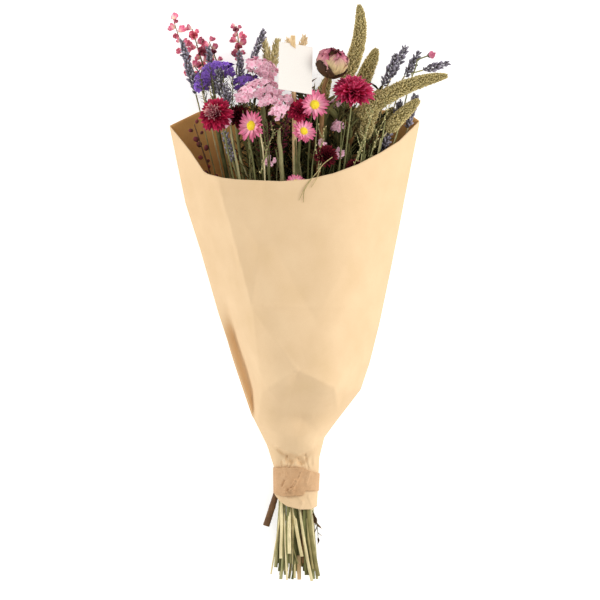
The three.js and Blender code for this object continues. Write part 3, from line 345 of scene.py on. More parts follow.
def card_stock(name, stops, tooth=0.6):
    """Smooth uncoated card, warm white, with a faint tooth."""
    material, tree = new_material(name, 0.55)
    place = add(tree, "ShaderNodeTexCoord", out=3)
    grit = add(tree, NOISE, {"Vector": place, "Scale": 1 / (tooth * MM), "Detail": 2})
    return surfaced(material, set_stops(add(tree, RAMP, {0: grit}), stops), grit, 0.1, 0.05)


paper_outside = kraft_paper("kraft_paper_outside", [(0.32, "#dabb90"), (0.5, "#dfc097"), (0.68, "#e4c69d")])
# The inside is browner and darker than the outside: partly the kraft's own browner side, partly painted
# shade for the hollow of the wrap.
paper_inside_with_shade = kraft_paper("kraft_paper_inside", [(0.3, "#c48f50"), (0.5, "#d29f5f"), (0.7, "#dcab6c")])
tape_paper = kraft_paper("gummed_paper_tape", [(0.3, "#ba9269"), (0.5, "#caa279"), (0.7, "#d6b188")], 1.2)
white_card = card_stock("white_card_stock", [(0.3, "#e8e1d8"), (0.7, "#f0eae1")])
birch = planed_wood("planed_birch", [(0.25, "#c39a67"), (0.5, "#e0be8c"), (0.75, "#efd6ab")])
pink_ray = petal("everlasting_petal",
                 [(0, "#fbdbe2"), (0.3, "#f3b3c6"), (0.7, "#e88aa8"), (1, "#d9688b")], 0.32, 0.16)
yolk = petal("everlasting_disc", [(0, "#f7cf14"), (0.4, "#ffe41c"), (1, "#fff250")], 0.05, 0.06)
crimson = petal("strawflower_bract_crimson",
                [(0, "#560818"), (0.5, "#ae1740"), (0.9, "#c82c57"), (1, "#dd6c86")], 0.3, 0.4)
cream_tipped = petal("strawflower_bract_cream_tipped",
                     [(0, "#8d1a3c"), (0.45, "#c23a62"), (0.75, "#e79ca6"), (1, "#fbe8d6")],
                     0.2, 0.35)
magenta = petal("strawflower_bract_magenta",
                [(0, "#7a0c2e"), (0.5, "#c62350"), (0.85, "#d84372"), (1, "#ea88a0")], 0.25, 0.3)
# Near-black to dark wine bracts, for the strawflowers that sit deep in the bunch and for the hearts under
# all bracts: partly their own dark red, partly painted shade.
wine = petal("strawflower_bract_wine", [(0, "#1f0508"), (0.6, "#4d0712"), (1, "#8e1f33")], 0.25, 0.4)
pink_papery = petal("pink_statice_floret",
                    [(0, "#7d4a50"), (0.3, "#d9809d"), (0.75, "#f3aec5"), (1, "#ffdbe4")], 0.1, 0.16)
violet_papery = petal("violet_statice_floret",
                      [(0, "#3b2452"), (0.35, "#5d3598"), (0.85, "#8357be"), (1, "#9a72cc")], 0.2, 0.3)
rose = petal("larkspur_petal",
             [(0, "#e8d8ae"), (0.3, "#eebbb2"), (0.6, "#e07f97"), (0.88, "#d25678"), (1, "#f2bec2")],
             0.3, 0.34)
peony_silk = petal("peony_petal",
                   [(0, "#dcb48a"), (0.5, "#ebb2a5"), (0.85, "#e28b9e"), (1, "#be526d")], 0.4, 0.25)
peony_cream = petal("peony_faded_petal",
                    [(0, "#ab9058"), (0.6, "#dfc390"), (0.92, "#e0ab9c"), (1, "#a84a60")], 0.35, 0.25)
sepal = petal("peony_sepal", [(0, "#6f5c33"), (0.5, "#583d22"), (1, "#452a1a")], 0.3, 0.2)
lilac = petal("lavender_bud",
              [(0, "#58554a"), (0.4, "#706a72"), (0.8, "#8c8694"), (1, "#b0aab2")], 0.25, 0.4)
millet_grain = petal("millet_grain", [(0, "#8f7d45"), (0.4, "#b3a062"), (1, "#d0c08b")], 0.15, 0.3)
millet_core = petal("millet_core", [(0, "#8d7e4a"), (1, "#a39258")], 0.1, 0.1)
bleached_grass = petal("bleached_grass", [(0, "#a4925a"), (0.5, "#cfbe85"), (1, "#e6d9ac")], 0.15, 0.2)
faded_grass = petal("faded_grass", [(0, "#d9bb88"), (0.5, "#eed3a4"), (1, "#f8e4c2")], 0.15, 0.15)
wine_leaf = petal("withered_wine_leaf", [(0, "#4a2a26"), (0.5, "#6d2136"), (1, "#8a3348")], 0.3, 0.4)
seed_pod = petal("seed_pod", [(0, "#4a3320"), (0.5, "#6b2a2a"), (1, "#7c3034")], 0.2, 0.35)
dry_leaf = petal("dry_leaf", [(0, "#6e6b40"), (0.6, "#636034"), (1, "#80693e")], 0.3, 0.45)
# Dry leaves painted darker, as the shade deep inside the wrap.
painted_shade_leaf = petal("shaded_leaf", [(0, "#44462a"), (0.6, "#3d3c20"), (1, "#55432a")], 0.3, 0.4)
green_leaf = petal("grey_green_broad_leaf", [(0, "#62613a"), (0.6, "#6b693e"), (1, "#857543")], 0.25, 0.3)
grey_leaf = petal("grey_green_leaf", [(0, "#55503a"), (0.6, "#5f5741"), (1, "#776c56")], 0.2, 0.35)
brown_leaf = petal("brown_leaf", [(0, "#3d2a18"), (0.6, "#5a3d20"), (1, "#7d5a30")], 0.3, 0.45)
green_stalk = stalk("green_dried_stem",
                    [(0, "#494824"), (0.35, "#757546"), (0.7, "#979665"), (1, "#bdb283")])
straw_stalk = stalk("straw_stem", [(0, "#7f7748"), (0.5, "#b8a874"), (1, "#e6d7a8")])
brown_stalk = stalk("woody_stem", [(0, "#38251a"), (0.5, "#5f422b"), (1, "#8f6a42")])


# Geometry node trees

def new_tree(name, inputs):
    """A geometry node tree with named inputs, and the sockets that bring them in."""
    tree = bpy.data.node_groups.new(name, "GeometryNodeTree")
    tree.interface.new_socket("Geometry", in_out="OUTPUT", socket_type="NodeSocketGeometry")
    for label, kind in inputs.items():
        tree.interface.new_socket(label, in_out="INPUT", socket_type="NodeSocket" + kind)
    entry = tree.nodes.new("NodeGroupInput")
    return tree, {label: entry.outputs[label] for label in inputs}


def chances(tree, index, seed, step):
    """Four values between -1 and 1 for every piece, drawn with seeds that lie a step apart."""
    seeds = [add(tree, MATH, {0: seed, 1: k * step}, operation="ADD") for k in range(4)]
    return [add(tree, "FunctionNodeRandomValue", {2: -1.0, 3: 1.0, 7: index, 8: own}, out=1)
            for own in seeds]


def ended(tree, socket, geometry):
    """Ends a tree in real mesh with its material."""
    real = add(tree, "GeometryNodeRealizeInstances", {0: geometry})
    done = add(tree, "GeometryNodeSetMaterial", {"Geometry": real, "Material": socket["Material"]})
    add(tree, "NodeGroupOutput", {0: done})
    return tree


def standing(tree, socket, points, offset, turned, size, chance):
    """Ends a tree in pieces that stand at its points, each with a shade of its own."""
    shade = add(tree, MATH, {0: chance, 1: 0.5, 2: 0.5}, operation="MULTIPLY_ADD")
    piece = add(tree, "GeometryNodeObjectInfo", {"Object": socket["Piece"]}, out=4)
    moved = add(tree, "GeometryNodeSetPosition", {"Geometry": points, "Offset": offset})
    stood = add(tree, "GeometryNodeInstanceOnPoints",
                {"Points": moved, "Instance": piece, "Rotation": turned, "Scale": size})
    shaded = add(tree, "GeometryNodeStoreNamedAttribute", {0: stood, 2: "shade", 3: shade},
                 data_type="FLOAT", domain="INSTANCE")
    return ended(tree, socket, shaded)


def spike_tree():
    """Pieces that stand round paths: florets, buds, grains and leaves.
    The paths' own girth widens or narrows the spike. Turn is the step round it, and Sector how much of
    the round is filled, with its middle towards Facing. Pitch is the lean away from the path."""
    tree, socket = new_tree("spike_of_pieces", {
        "Path": "Geometry", "Piece": "Object", "Spacing": "Float", "Reach": "Float", "Size": "Float",
        "Pitch": "Float", "Turn": "Float", "Sector": "Float", "Facing": "Vector", "Jitter": "Float",
        "Seed": "Int", "Material": "Material"})
    curve = add(tree, "GeometryNodeMeshToCurve", {0: socket["Path"]})
    points = add(tree, "GeometryNodeCurveToPoints", {0: curve, "Length": socket["Spacing"]}, mode="LENGTH")
    tangent = points.node.outputs["Tangent"]
    index = add(tree, "GeometryNodeInputIndex")
    girth = add(tree, "GeometryNodeInputNamedAttribute", {"Name": "girth"}, data_type="FLOAT")
    chance = chances(tree, index, socket["Seed"], 17.0)
    dot = add(tree, VECTOR, {0: socket["Facing"], 1: tangent}, out=1, operation="DOT_PRODUCT")
    lengthwise = add(tree, VECTOR, {0: tangent, 3: dot}, operation="SCALE")
    facing = add(tree, VECTOR, {0: socket["Facing"], 1: lengthwise}, operation="SUBTRACT")
    facing = add(tree, VECTOR, {0: facing}, operation="NORMALIZE")
    side = add(tree, VECTOR, {0: tangent, 1: facing}, operation="CROSS_PRODUCT")
    turns = add(tree, MATH, {0: index, 1: socket["Turn"]}, operation="MULTIPLY")
    turns = add(tree, MATH, {0: turns}, operation="FRACT")
    angle = add(tree, MATH, {0: turns, 1: 0.5}, operation="SUBTRACT")
    angle = add(tree, MATH, {0: angle, 1: socket["Sector"]}, operation="MULTIPLY")
    stray = add(tree, MATH, {0: chance[0], 1: socket["Jitter"]}, operation="MULTIPLY")
    angle = add(tree, MATH, {0: angle, 1: stray}, operation="ADD")
    cosine = add(tree, MATH, {0: angle}, operation="COSINE")
    sine = add(tree, MATH, {0: angle}, operation="SINE")
    outward = add(tree, VECTOR, {0: facing, 3: cosine}, operation="SCALE")
    sideways = add(tree, VECTOR, {0: side, 3: sine}, operation="SCALE")
    outward = add(tree, VECTOR, {0: outward, 1: sideways}, operation="ADD")
    lean = add(tree, MATH, {0: chance[1], 1: socket["Jitter"], 2: socket["Pitch"]},
               operation="MULTIPLY_ADD")
    away = add(tree, MATH, {0: lean}, operation="SINE")
    forward = add(tree, MATH, {0: lean}, operation="COSINE")
    aim = add(tree, VECTOR, {0: outward, 3: away}, operation="SCALE")
    ahead = add(tree, VECTOR, {0: tangent, 3: forward}, operation="SCALE")
    aim = add(tree, VECTOR, {0: aim, 1: ahead}, operation="ADD")
    cross = add(tree, VECTOR, {0: tangent, 1: outward}, operation="CROSS_PRODUCT")
    turned = add(tree, "FunctionNodeAxesToRotation", {0: aim, 1: cross},
                 primary_axis="Z", secondary_axis="X")
    reach = add(tree, MATH, {0: socket["Reach"], 1: girth}, operation="MULTIPLY")
    offset = add(tree, VECTOR, {0: outward, 3: reach}, operation="SCALE")
    uneven = add(tree, MATH, {0: chance[2], 1: socket["Jitter"], 2: 1.0}, operation="MULTIPLY_ADD")
    size = add(tree, MATH, {0: socket["Size"], 1: uneven}, operation="MULTIPLY")
    fullness = add(tree, RANGE, {0: girth, 3: 0.45, 4: 1.0})
    size = add(tree, MATH, {0: size, 1: fullness}, operation="MULTIPLY")
    return standing(tree, socket, points, offset, turned, size, chance[3])


def rosette_tree():
    """Petals or bracts round a flower's axis in golden turns, from the middle out.
    Each stands on a small ball at its polar angle and points along its own aim angle."""
    tree, socket = new_tree("rosette_of_petals", {
        "Seat": "Geometry", "Piece": "Object", "Count": "Int", "Ball": "Float", "Height": "Float",
        "Inner Polar": "Float", "Outer Polar": "Float", "Inner Aim": "Float", "Outer Aim": "Float",
        "Inner Size": "Float", "Outer Size": "Float", "Spread": "Float", "Jitter": "Float", "Seed": "Int",
        "Material": "Material"})
    points = add(tree, "GeometryNodeMeshLine", {"Count": socket["Count"], "Offset": (0, 0, 0)})
    index = add(tree, "GeometryNodeInputIndex")
    chance = chances(tree, index, socket["Seed"], 23.0)
    share = add(tree, MATH, {0: index, 1: socket["Count"]}, operation="DIVIDE")
    share = add(tree, MATH, {0: share, 1: socket["Spread"]}, operation="POWER")
    azimuth = add(tree, MATH, {0: index, 1: 2 * math.pi * GOLDEN_TURN}, operation="MULTIPLY")
    stray = add(tree, MATH, {0: chance[0], 1: socket["Jitter"], 2: azimuth}, operation="MULTIPLY_ADD")
    radial = add(tree, "ShaderNodeCombineXYZ", {
        0: add(tree, MATH, {0: stray}, operation="COSINE"),
        1: add(tree, MATH, {0: stray}, operation="SINE")})
    leans = []
    for angle in ("Polar", "Aim"):
        lean = add(tree, RANGE, {0: share, 3: socket["Inner " + angle], 4: socket["Outer " + angle]})
        if angle == "Aim":
            lean = add(tree, MATH, {0: chance[1], 1: socket["Jitter"], 2: lean}, operation="MULTIPLY_ADD")
        sine = add(tree, MATH, {0: lean}, operation="SINE")
        out = add(tree, VECTOR, {0: radial, 3: sine}, operation="SCALE")
        up = add(tree, "ShaderNodeCombineXYZ", {2: add(tree, MATH, {0: lean}, operation="COSINE")})
        leans.append(add(tree, VECTOR, {0: out, 1: up}, operation="ADD"))
    across = add(tree, VECTOR, {0: (0, 0, 1), 1: radial}, operation="CROSS_PRODUCT")
    turned = add(tree, "FunctionNodeAxesToRotation", {0: leans[1], 1: across},
                 primary_axis="Z", secondary_axis="X")
    offset = add(tree, VECTOR, {0: leans[0], 3: socket["Ball"]}, operation="SCALE")
    raised = add(tree, "ShaderNodeCombineXYZ", {2: socket["Height"]})
    offset = add(tree, VECTOR, {0: offset, 1: raised}, operation="ADD")
    size = add(tree, RANGE, {0: share, 3: socket["Inner Size"], 4: socket["Outer Size"]})
    uneven = add(tree, MATH, {0: chance[2], 1: socket["Jitter"], 2: 1.0}, operation="MULTIPLY_ADD")
    size = add(tree, MATH, {0: size, 1: uneven}, operation="MULTIPLY")
    return standing(tree, socket, points, offset, turned, size, chance[3])


def stem_tree():
    """Round, slightly crooked stems along paths. The paths' own thick attribute is the stem's radius."""
    tree, socket = new_tree("crooked_stems", {
        "Path": "Geometry", "Step": "Float", "Sides": "Int", "Crook": "Float", "Knots": "Float",
        "Swell": "Float", "Material": "Material"})
    curve = add(tree, "GeometryNodeMeshToCurve", {0: socket["Path"]})
    curve = add(tree, "GeometryNodeResampleCurve", {0: curve, "Length": socket["Step"]}, mode="LENGTH")
    thick = add(tree, "GeometryNodeInputNamedAttribute", {"Name": "thick"}, data_type="FLOAT")
    run = add(tree, "GeometryNodeSplineParameter", out=1)
    run = add(tree, MATH, {0: run, 1: socket["Knots"]}, operation="DIVIDE")
    run = add(tree, MATH, {0: run, 1: 1.0}, operation="PINGPONG")
    knot = add(tree, RANGE, {0: run, 1: 0.9, 2: 1.0, 3: 1.0, 4: socket["Swell"]})
    radius = add(tree, MATH, {0: thick, 1: knot}, operation="MULTIPLY")
    place = add(tree, "GeometryNodeInputPosition")
    bend = add(tree, NOISE, {"Vector": place, "Scale": 1 / (38 * MM), "Detail": 1}, out=1)
    bend = add(tree, VECTOR, {0: bend, 1: (0.5, 0.5, 0.5)}, operation="SUBTRACT")
    bend = add(tree, VECTOR, {0: bend, 3: socket["Crook"]}, operation="SCALE")
    curve = add(tree, "GeometryNodeSetPosition", {"Geometry": curve, "Offset": bend})
    circle = add(tree, "GeometryNodeCurvePrimitiveCircle", {"Resolution": socket["Sides"], "Radius": 1.0})
    skin = add(tree, "GeometryNodeCurveToMesh", {0: curve, 1: circle, "Scale": radius, "Fill Caps": True})
    return ended(tree, socket, skin)


SPIKE = spike_tree()
ROSETTE = rosette_tree()
STEMS = stem_tree()


def grow(name, tree, base, **values):
    """Runs a tree on a mesh, and keeps the result as a plain mesh."""
    piece = bpy.data.objects.new(name, base)
    scene.collection.objects.link(piece)
    modifier = piece.modifiers.new(tree.name, "NODES")
    modifier.node_group = tree
    for item in tree.interface.items_tree:
        if item.in_out == "INPUT" and item.name.replace(" ", "_") in values:
            modifier[item.identifier] = values[item.name.replace(" ", "_")]
    made = bpy.data.meshes.new_from_object(piece.evaluated_get(bpy.context.evaluated_depsgraph_get()))
    piece.modifiers.clear()
    piece.data = made
    made.name = name
    for polygon in made.polygons:
        polygon.use_smooth = True
    return piece


def join(name, pieces):
    """One piece from several."""
    if len(pieces) > 1:
        with bpy.context.temp_override(active_object=pieces[0], object=pieces[0], selected_objects=pieces,
                                       selected_editable_objects=pieces):
            bpy.ops.object.join()
    pieces[0].name = name
    return pieces[0]


def crowd(name, path, piece, finish, spacing, reach, size, pitch, seed, turn=GOLDEN_TURN,
          sector=2 * math.pi, facing=(0, 0, 1), jitter=0.3):
    """Pieces along paths, all round them where no sector is given. Lengths are in millimetres."""
    return grow(name, SPIKE, path, Piece=piece, Spacing=spacing * MM, Reach=reach * MM, Size=size * MM,
                Pitch=pitch, Turn=turn, Sector=sector, Facing=facing, Jitter=jitter, Seed=seed,
                Material=finish)


def rosette(name, piece, finish, unit, count, ball, height, polar, aim, size, spread, jitter, seed):
    """Petals round an axis. Ball, height and size are in the given unit. Polar angle, aim and size go
    from the first value in the middle to the second one at the rim."""
    return grow(name, ROSETTE, bpy.data.meshes.new("seat"), Piece=piece, Count=count, Ball=ball * unit,
                Height=height * unit, Inner_Polar=polar[0], Outer_Polar=polar[1], Inner_Aim=aim[0],
                Outer_Aim=aim[1], Inner_Size=size[0] * unit, Outer_Size=size[1] * unit, Spread=spread,
                Jitter=jitter, Seed=seed, Material=finish)


def stalks(name, lines, finish, step, sides, crook, knots=1.0, swell=1.0):
    """Stems along lines. Step and crook are in millimetres, and knots is the share of the way from one
    knot to the next."""
    return grow(name, STEMS, path_mesh("stalk_path", lines), Step=step * MM, Sides=sides, Crook=crook * MM,
                Knots=knots, Swell=swell, Material=finish)


def settle(piece, slot, *nodes):
    """The piece rides on the bouquet and stands for its CAD nodes."""
    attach(piece, BODY)
    if nodes:
        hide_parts(*nodes)


# Paths for the trees

def path_mesh(name, lines):
    """Lines of (point, girth, thick, tint) as a mesh of edges in metres, with those three as attributes."""
    mesh = bpy.data.meshes.new(name)
    points, edges, values = [], [], {"girth": [], "thick": [], "tint": []}
    for line in lines:
        first = len(points)
        for point, girth, thick, tint in line:
            points.append(Vector(point) * MM)
            values["girth"].append(girth)
            values["thick"].append(thick * MM)
            values["tint"].append(tint)
        edges += [(k, k + 1) for k in range(first, len(points) - 1)]
    mesh.from_pydata(points, edges, [])
    for label, numbers in values.items():
        mesh.attributes.new(label, "FLOAT", "POINT").data.foreach_set("value", numbers)
    return mesh


def bezier(a, b, c, count):
    """Points along a quadratic curve."""
    a, b, c = Vector(a), Vector(b), Vector(c)
    return [a * (1 - t) ** 2 + b * 2 * t * (1 - t) + c * t * t for t in np.linspace(0, 1, count)]


def spline(points, count):
    """Points along a smooth curve through others."""
    points = [Vector(p) for p in points]
    points = [points[0] * 2 - points[1], *points, points[-1] * 2 - points[-2]]
    out = []
    for t in np.linspace(0, len(points) - 3.0001, count):
        k, f = int(t), t - int(t)
        a, b, c, d = points[k:k + 4]
        out.append(0.5 * ((2 * b) + (c - a) * f + (2 * a - 5 * b + 4 * c - d) * f * f
                          + (3 * b - a - 3 * c + d) * f ** 3))
    return out


def line_of(points, girth=lambda share: 1.0, thick=lambda share: 1.0, tint=0.5):
    """A path from points, with its girth and thickness as functions of the share of the way."""
    last = len(points) - 1
    return [(p, girth(k / last), thick(k / last), tint) for k, p in enumerate(points)]


# Small pieces that the trees repeat. Each is one unit long, grows along +Z, and has its inner face to +Y.

def small_piece(name, points, faces, length, width):
    """A smooth mesh with the share of its length and of its width at each point, for the streaks."""
    mesh = bpy.data.meshes.new(name)
    mesh.from_pydata(points, [], faces)
    for polygon in mesh.polygons:
        polygon.use_smooth = True
    mesh.attributes.new("length", "FLOAT", "POINT").data.foreach_set("value", length)
    mesh.attributes.new("width", "FLOAT", "POINT").data.foreach_set("value", width)
    return bpy.data.objects.new(name, mesh)


def two_layers(name, rows, columns, place):
    """A thin petal or leaf from two grids. Place gives the point of a layer, 0 or 1, at a share t of the
    length and at s across, which runs from -1 to 1."""
    points, length, width = [], [], []
    for layer in (0, 1):
        for t in (r / rows for r in range(rows + 1)):
            for s in (2 * c / columns - 1 for c in range(columns + 1)):
                points.append(place(layer, t, s))
                length.append(t)
                width.append(s)
    faces = []
    stride, back = columns + 1, (rows + 1) * (columns + 1)
    for r in range(rows):
        for c in range(columns):
            a = r * stride + c
            faces.append((a, a + 1, a + stride + 1, a + stride))
            faces.append((back + a, back + a + stride, back + a + stride + 1, back + a + 1))
    return small_piece(name, points, faces, length, width)


def blade(name, outline, cup=0.1, curl=0.1, ridge=0.02, columns=2, twist=0.0):
    """A petal or leaf. The outline gives its half width at even steps from root to tip, cup how far its
    edges stand in, curl how far its tip bends in, and ridge its thickness."""
    rows = len(outline) - 1

    def place(layer, t, s):
        half = outline[round(t * rows)]
        thin = ridge * (1 - s * s) * math.sin(math.pi * min(1, t + 0.12))
        y = cup * half * 2 * s * s + curl * t * t + (1 - 2 * layer) * thin
        a = twist * t
        x = half * s
        return x * math.cos(a) - y * math.sin(a), x * math.sin(a) + y * math.cos(a), t

    return two_layers(name, rows, columns, place)


def turned_piece(name, profile, sides, lobes=0, depth=0.0, ruffle=0.0):
    """A round closed piece from (height, radius) pairs, or a funnel whose mouth has lobes."""
    points, length, width = [], [], []
    for r, (height, radius) in enumerate(profile):
        t = min(1, max(0, height))
        for k in range(sides):
            angle = 2 * math.pi * k / sides
            wave = 1 + depth * t * t * math.cos(lobes * angle) if lobes else 1
            points.append((radius * wave * math.cos(angle), radius * wave * math.sin(angle),
                           height + ruffle * t * t * math.sin(lobes * angle * 2 + r)))
            length.append(t)
            width.append(math.cos(angle))
    faces = []
    for r in range(len(profile) - 1):
        for k in range(sides):
            a, b = r * sides + k, r * sides + (k + 1) % sides
            faces.append((a, b, b + sides, a + sides))
    faces.append(tuple(range(sides - 1, -1, -1)))
    faces.append(tuple(range(len(points) - sides, len(points))))
    return small_piece(name, points, faces, length, width)


def merged(name, parts):
    """One small piece from several with their own turns and moves."""
    points, faces, length, width = [], [], [], []
    for part, matrix in parts:
        first = len(points)
        mesh = part.data
        points += [tuple(matrix @ v.co) for v in mesh.vertices]
        faces += [tuple(first + i for i in p.vertices) for p in mesh.polygons]
        length += [d.value for d in mesh.attributes["length"].data]
        width += [d.value for d in mesh.attributes["width"].data]
    return small_piece(name, points, faces, length, width)


bract = blade("bract", [0.13, 0.19, 0.22, 0.19, 0.11, 0.01], cup=0.5, curl=0.16)
ray_petal = blade("ray_petal", [0.04, 0.08, 0.11, 0.12, 0.1, 0.03], cup=0.25, curl=0.06, ridge=0.012,
                  columns=4)
disc_floret = turned_piece("disc_floret", [(0, 0.2), (0.7, 0.3), (1, 0.12)], 5)
funnel = turned_piece("funnel_floret", [(0, 0.06), (0.5, 0.14), (0.78, 0.38), (0.9, 0.64), (0.95, 0.62),
                                        (0.84, 0.34), (0.74, 0.08)], 10, lobes=5, depth=0.26, ruffle=0.06)
lavender_bud = turned_piece("lavender_bud", [(0, 0.1), (0.3, 0.24), (0.7, 0.22), (0.92, 0.14), (1, 0.02)], 5)
grain = turned_piece("millet_grain", [(0, 0.16), (0.5, 0.38), (1, 0.06)], 4)
bristle = turned_piece("bristle", [(0, 0.035), (1, 0.004)], 3)
spikelet = blade("grass_spikelet", [0.04, 0.13, 0.15, 0.1, 0.01], cup=0.4, ridge=0.06)
narrow_leaf = blade("narrow_leaf", [0.02, 0.052, 0.052, 0.03, 0.003], cup=0.3, curl=-0.22, ridge=0.006,
                    twist=0.9)
short_leaf = blade("short_leaf", [0.03, 0.12, 0.13, 0.08, 0.01], cup=0.35, curl=-0.3, ridge=0.012,
                   twist=1.1)
broad_leaf = blade("broad_leaf", [0.02, 0.1, 0.15, 0.17, 0.16, 0.12, 0.07, 0.005], cup=0.35, curl=-0.12,
                   ridge=0.008, columns=4, twist=0.5)
pod = turned_piece("seed_pod", [(0, 0.12), (0.2, 0.34), (0.55, 0.42), (0.85, 0.25), (1, 0.05)], 7)


def larkspur_floret():
    """Five unequal crumpled petals, three small ones within and a thin spur at the back."""
    leaf = blade("larkspur_petal", [0.08, 0.3, 0.42, 0.4, 0.22], cup=0.75, curl=0.38, columns=4)
    spur = turned_piece("larkspur_spur", [(0, 0.06), (0.5, 0.05), (1, 0.01)], 5)
    parts = []
    for k in range(8):
        lean = (1.0 if k < 5 else 0.5) + 0.22 * math.sin(k * 2.3)
        size = (0.86 if k < 5 else 0.6) + 0.12 * math.cos(k * 1.7)
        turn = Matrix.Rotation(2 * math.pi * k / 5 + (k > 4), 4, "Z") @ Matrix.Rotation(lean, 4, "X")
        parts.append((leaf, turn @ Matrix.Scale(size, 4)))
    parts.append((spur, Matrix.Rotation(2.6, 4, "X") @ Matrix.Scale(0.9, 4)))
    return merged("larkspur_floret", parts)


floret = larkspur_floret()


def aim_matrix(at, facing):
    """The place of a flower that was made upright at the origin."""
    turn = Vector((0, 0, 1)).rotation_difference(Vector(facing).normalized())
    return Matrix.Translation(Vector(at) * MM) @ turn.to_matrix().to_4x4()


# The paper

def along(pairs, at):
    """The value at a place between (place, value) pairs."""
    return np.interp(at, [pair[0] for pair in pairs], [pair[1] for pair in pairs])


def softened(pairs, at, reach):
    """The same, with the corners rounded over a reach on either side."""
    return sum(along(pairs, at + reach * k / 3) for k in range(-3, 4)) / 7


def smoothstep(value, low, high):
    """Rises from 0 at the low value to 1 at the high one."""
    share = np.clip((value - low) / (high - low), 0, 1)
    return share * share * (3 - 2 * share)


def crease(x, y, start, end, rise, reach_plus, reach_minus):
    """A straight crease with a slope on either side of it."""
    dx, dy = end[0] - start[0], end[1] - start[1]
    share = np.clip(((x - start[0]) * dx + (y - start[1]) * dy) / (dx * dx + dy * dy), 0, 1)
    away_x, away_y = x - start[0] - share * dx, y - start[1] - share * dy
    plus = away_x > 0 if abs(dy) > abs(dx) else away_y > 0
    reach = np.where(plus, reach_plus, reach_minus)
    return rise * np.maximum(0, 1 - np.sqrt(away_x ** 2 + away_y ** 2 + 0.2) / reach)


def rough(x, y, size, seed):
    """Smooth noise between -1 and 1 at points of a grid."""
    return np.vectorize(lambda a, b: noise.noise((a / size, b / size, seed)))(x, y)


def facets():
    """The front's facets as triangles of (x, along Y, rise)."""
    corners = [Vector(corner[:2]) for corner in FACET_CORNERS]
    made, _, triangles, sources, _, _ = delaunay_2d_cdt(corners, FACET_FOLDS, [], 0, 0.01)
    rises = [np.mean([FACET_CORNERS[k][2] for k in source]) if source else 0 for source in sources]
    return np.array([[(*made[k], rises[k]) for k in triangle] for triangle in triangles])


FACETS = facets()


def facet_rise(x, y):
    """How far the facets stand out at points, with their folds rounded a little."""
    total = np.zeros(np.shape(x))
    for dx, dy in ((0, 0), (0.9, 0), (-0.9, 0), (0, 0.9), (0, -0.9)):
        for (ax, ay, a), (bx, by, b), (cx, cy, c) in FACETS:
            area = (bx - ax) * (cy - ay) - (cx - ax) * (by - ay)
            beta = ((x + dx - ax) * (cy - ay) - (cx - ax) * (y + dy - ay)) / area
            gamma = ((bx - ax) * (y + dy - ay) - (x + dx - ax) * (by - ay)) / area
            inside = (beta >= 0) & (gamma >= 0) & (beta + gamma < 1)
            total += np.where(inside, a + beta * (b - a) + gamma * (c - a), 0) / 5
    return total


def neck_share(y):
    """1 where the stems fill the sleeve, and 0 where it has opened."""
    return 1 - smoothstep(y, 20, 78)


def front_height(across, x, y):
    """The height of the wrap's front over the floor."""
    neck = neck_share(y)
    side = softened(SIDE_HEIGHT, y, 6)
    bulge = np.maximum(0, 1 - np.abs(across) ** 2.3) ** (0.76 - 0.24 * neck)
    relief = facet_rise(x, y) + 0.2 * rough(x, y, 34, 1) + 0.1 * rough(x, y, 8, 2)
    for folds, rise, plus, minus in CREASES:
        for start, end in folds:
            relief += crease(x, y, start, end, rise, plus, minus)
    # Pleats where the sheet is gathered over the tape.
    gathered = smoothstep(y, 12, 16) * (1 - smoothstep(y, 19, 27))
    relief += 0.9 * np.cos(across * 15 + 2 * rough(x, y, 9, 5)) * gathered + 0.25 * rough(x, y, 5, 3) * neck
    height = side + (softened(FRONT_HEIGHT, y, 5) - side) * bulge + relief * np.sqrt(bulge)
    # The low strip beside the left ridge, where the sheet is tucked under.
    beside = along(LEFT_RIDGE, y) - x
    tucked = smoothstep(beside, 0, 4) * smoothstep(y, 52, 70) * (1 - smoothstep(y, 142, 188))
    low = np.maximum(side + 1.5 - 4 * (1 - smoothstep(beside, 3, 14)), back_height(across, y) + 2.2)
    return height + (np.minimum(low, height) - height) * tucked


def back_height(across, y):
    """The height of its back: flat on the floor above the neck, and an oval in the neck."""
    neck = neck_share(y)
    oval = np.maximum(1.15, softened(SIDE_HEIGHT, y, 6) - 17.5 * np.sqrt(np.maximum(0, 1 - across ** 2)))
    flat = softened(SIDE_HEIGHT, y, 6) * smoothstep(np.abs(across), 0.66, 1) ** 1.5
    return flat + (oval - flat) * neck


def sheet_points(turn, y):
    """Points of the wrap's outside. Turn runs from the left fold over the front to the right one, and
    back under the bouquet."""
    across = -np.cos(2 * np.pi * turn)
    left, right = along(LEFT_EDGE, y), along(RIGHT_EDGE, y)
    x = left + (right - left) * (across + 1) / 2
    z = np.where(turn <= 0.5, front_height(across, x, y), back_height(across, y))
    return np.stack([x, y, z], axis=-1)


def inward(points):
    """Unit vectors from a closed sheet's outside to its inside, at every point of its grid."""
    around = np.roll(points, -1, axis=1) - np.roll(points, 1, axis=1)
    lengthwise = np.gradient(points, axis=0)
    square = np.cross(lengthwise, around)
    square[..., 1] *= 0.3  # hardly along Y, so that the rims keep their outlines
    return square / np.linalg.norm(square, axis=-1, keepdims=True)


def sleeve(name, outer, inner, outside, inside):
    """A closed sleeve between two grids, with a finish of its own on the inside."""
    rows, columns = outer.shape[:2]
    points = np.concatenate([outer, inner[::-1]]).reshape(-1, 3) * MM
    faces = []
    for r in range(2 * rows):
        a, b = r * columns, (r + 1) % (2 * rows) * columns
        faces += [(a + k, a + (k + 1) % columns, b + (k + 1) % columns, b + k) for k in range(columns)]
    mesh = bpy.data.meshes.new(name)
    mesh.from_pydata(points.tolist(), [], faces)
    mesh.materials.append(outside)
    mesh.materials.append(inside)
    for k, polygon in enumerate(mesh.polygons):
        polygon.material_index = int(rows <= k // columns < 2 * rows - 1)
        polygon.use_smooth = True
    piece = bpy.data.objects.new(name, mesh)
    scene.collection.objects.link(piece)
    return piece


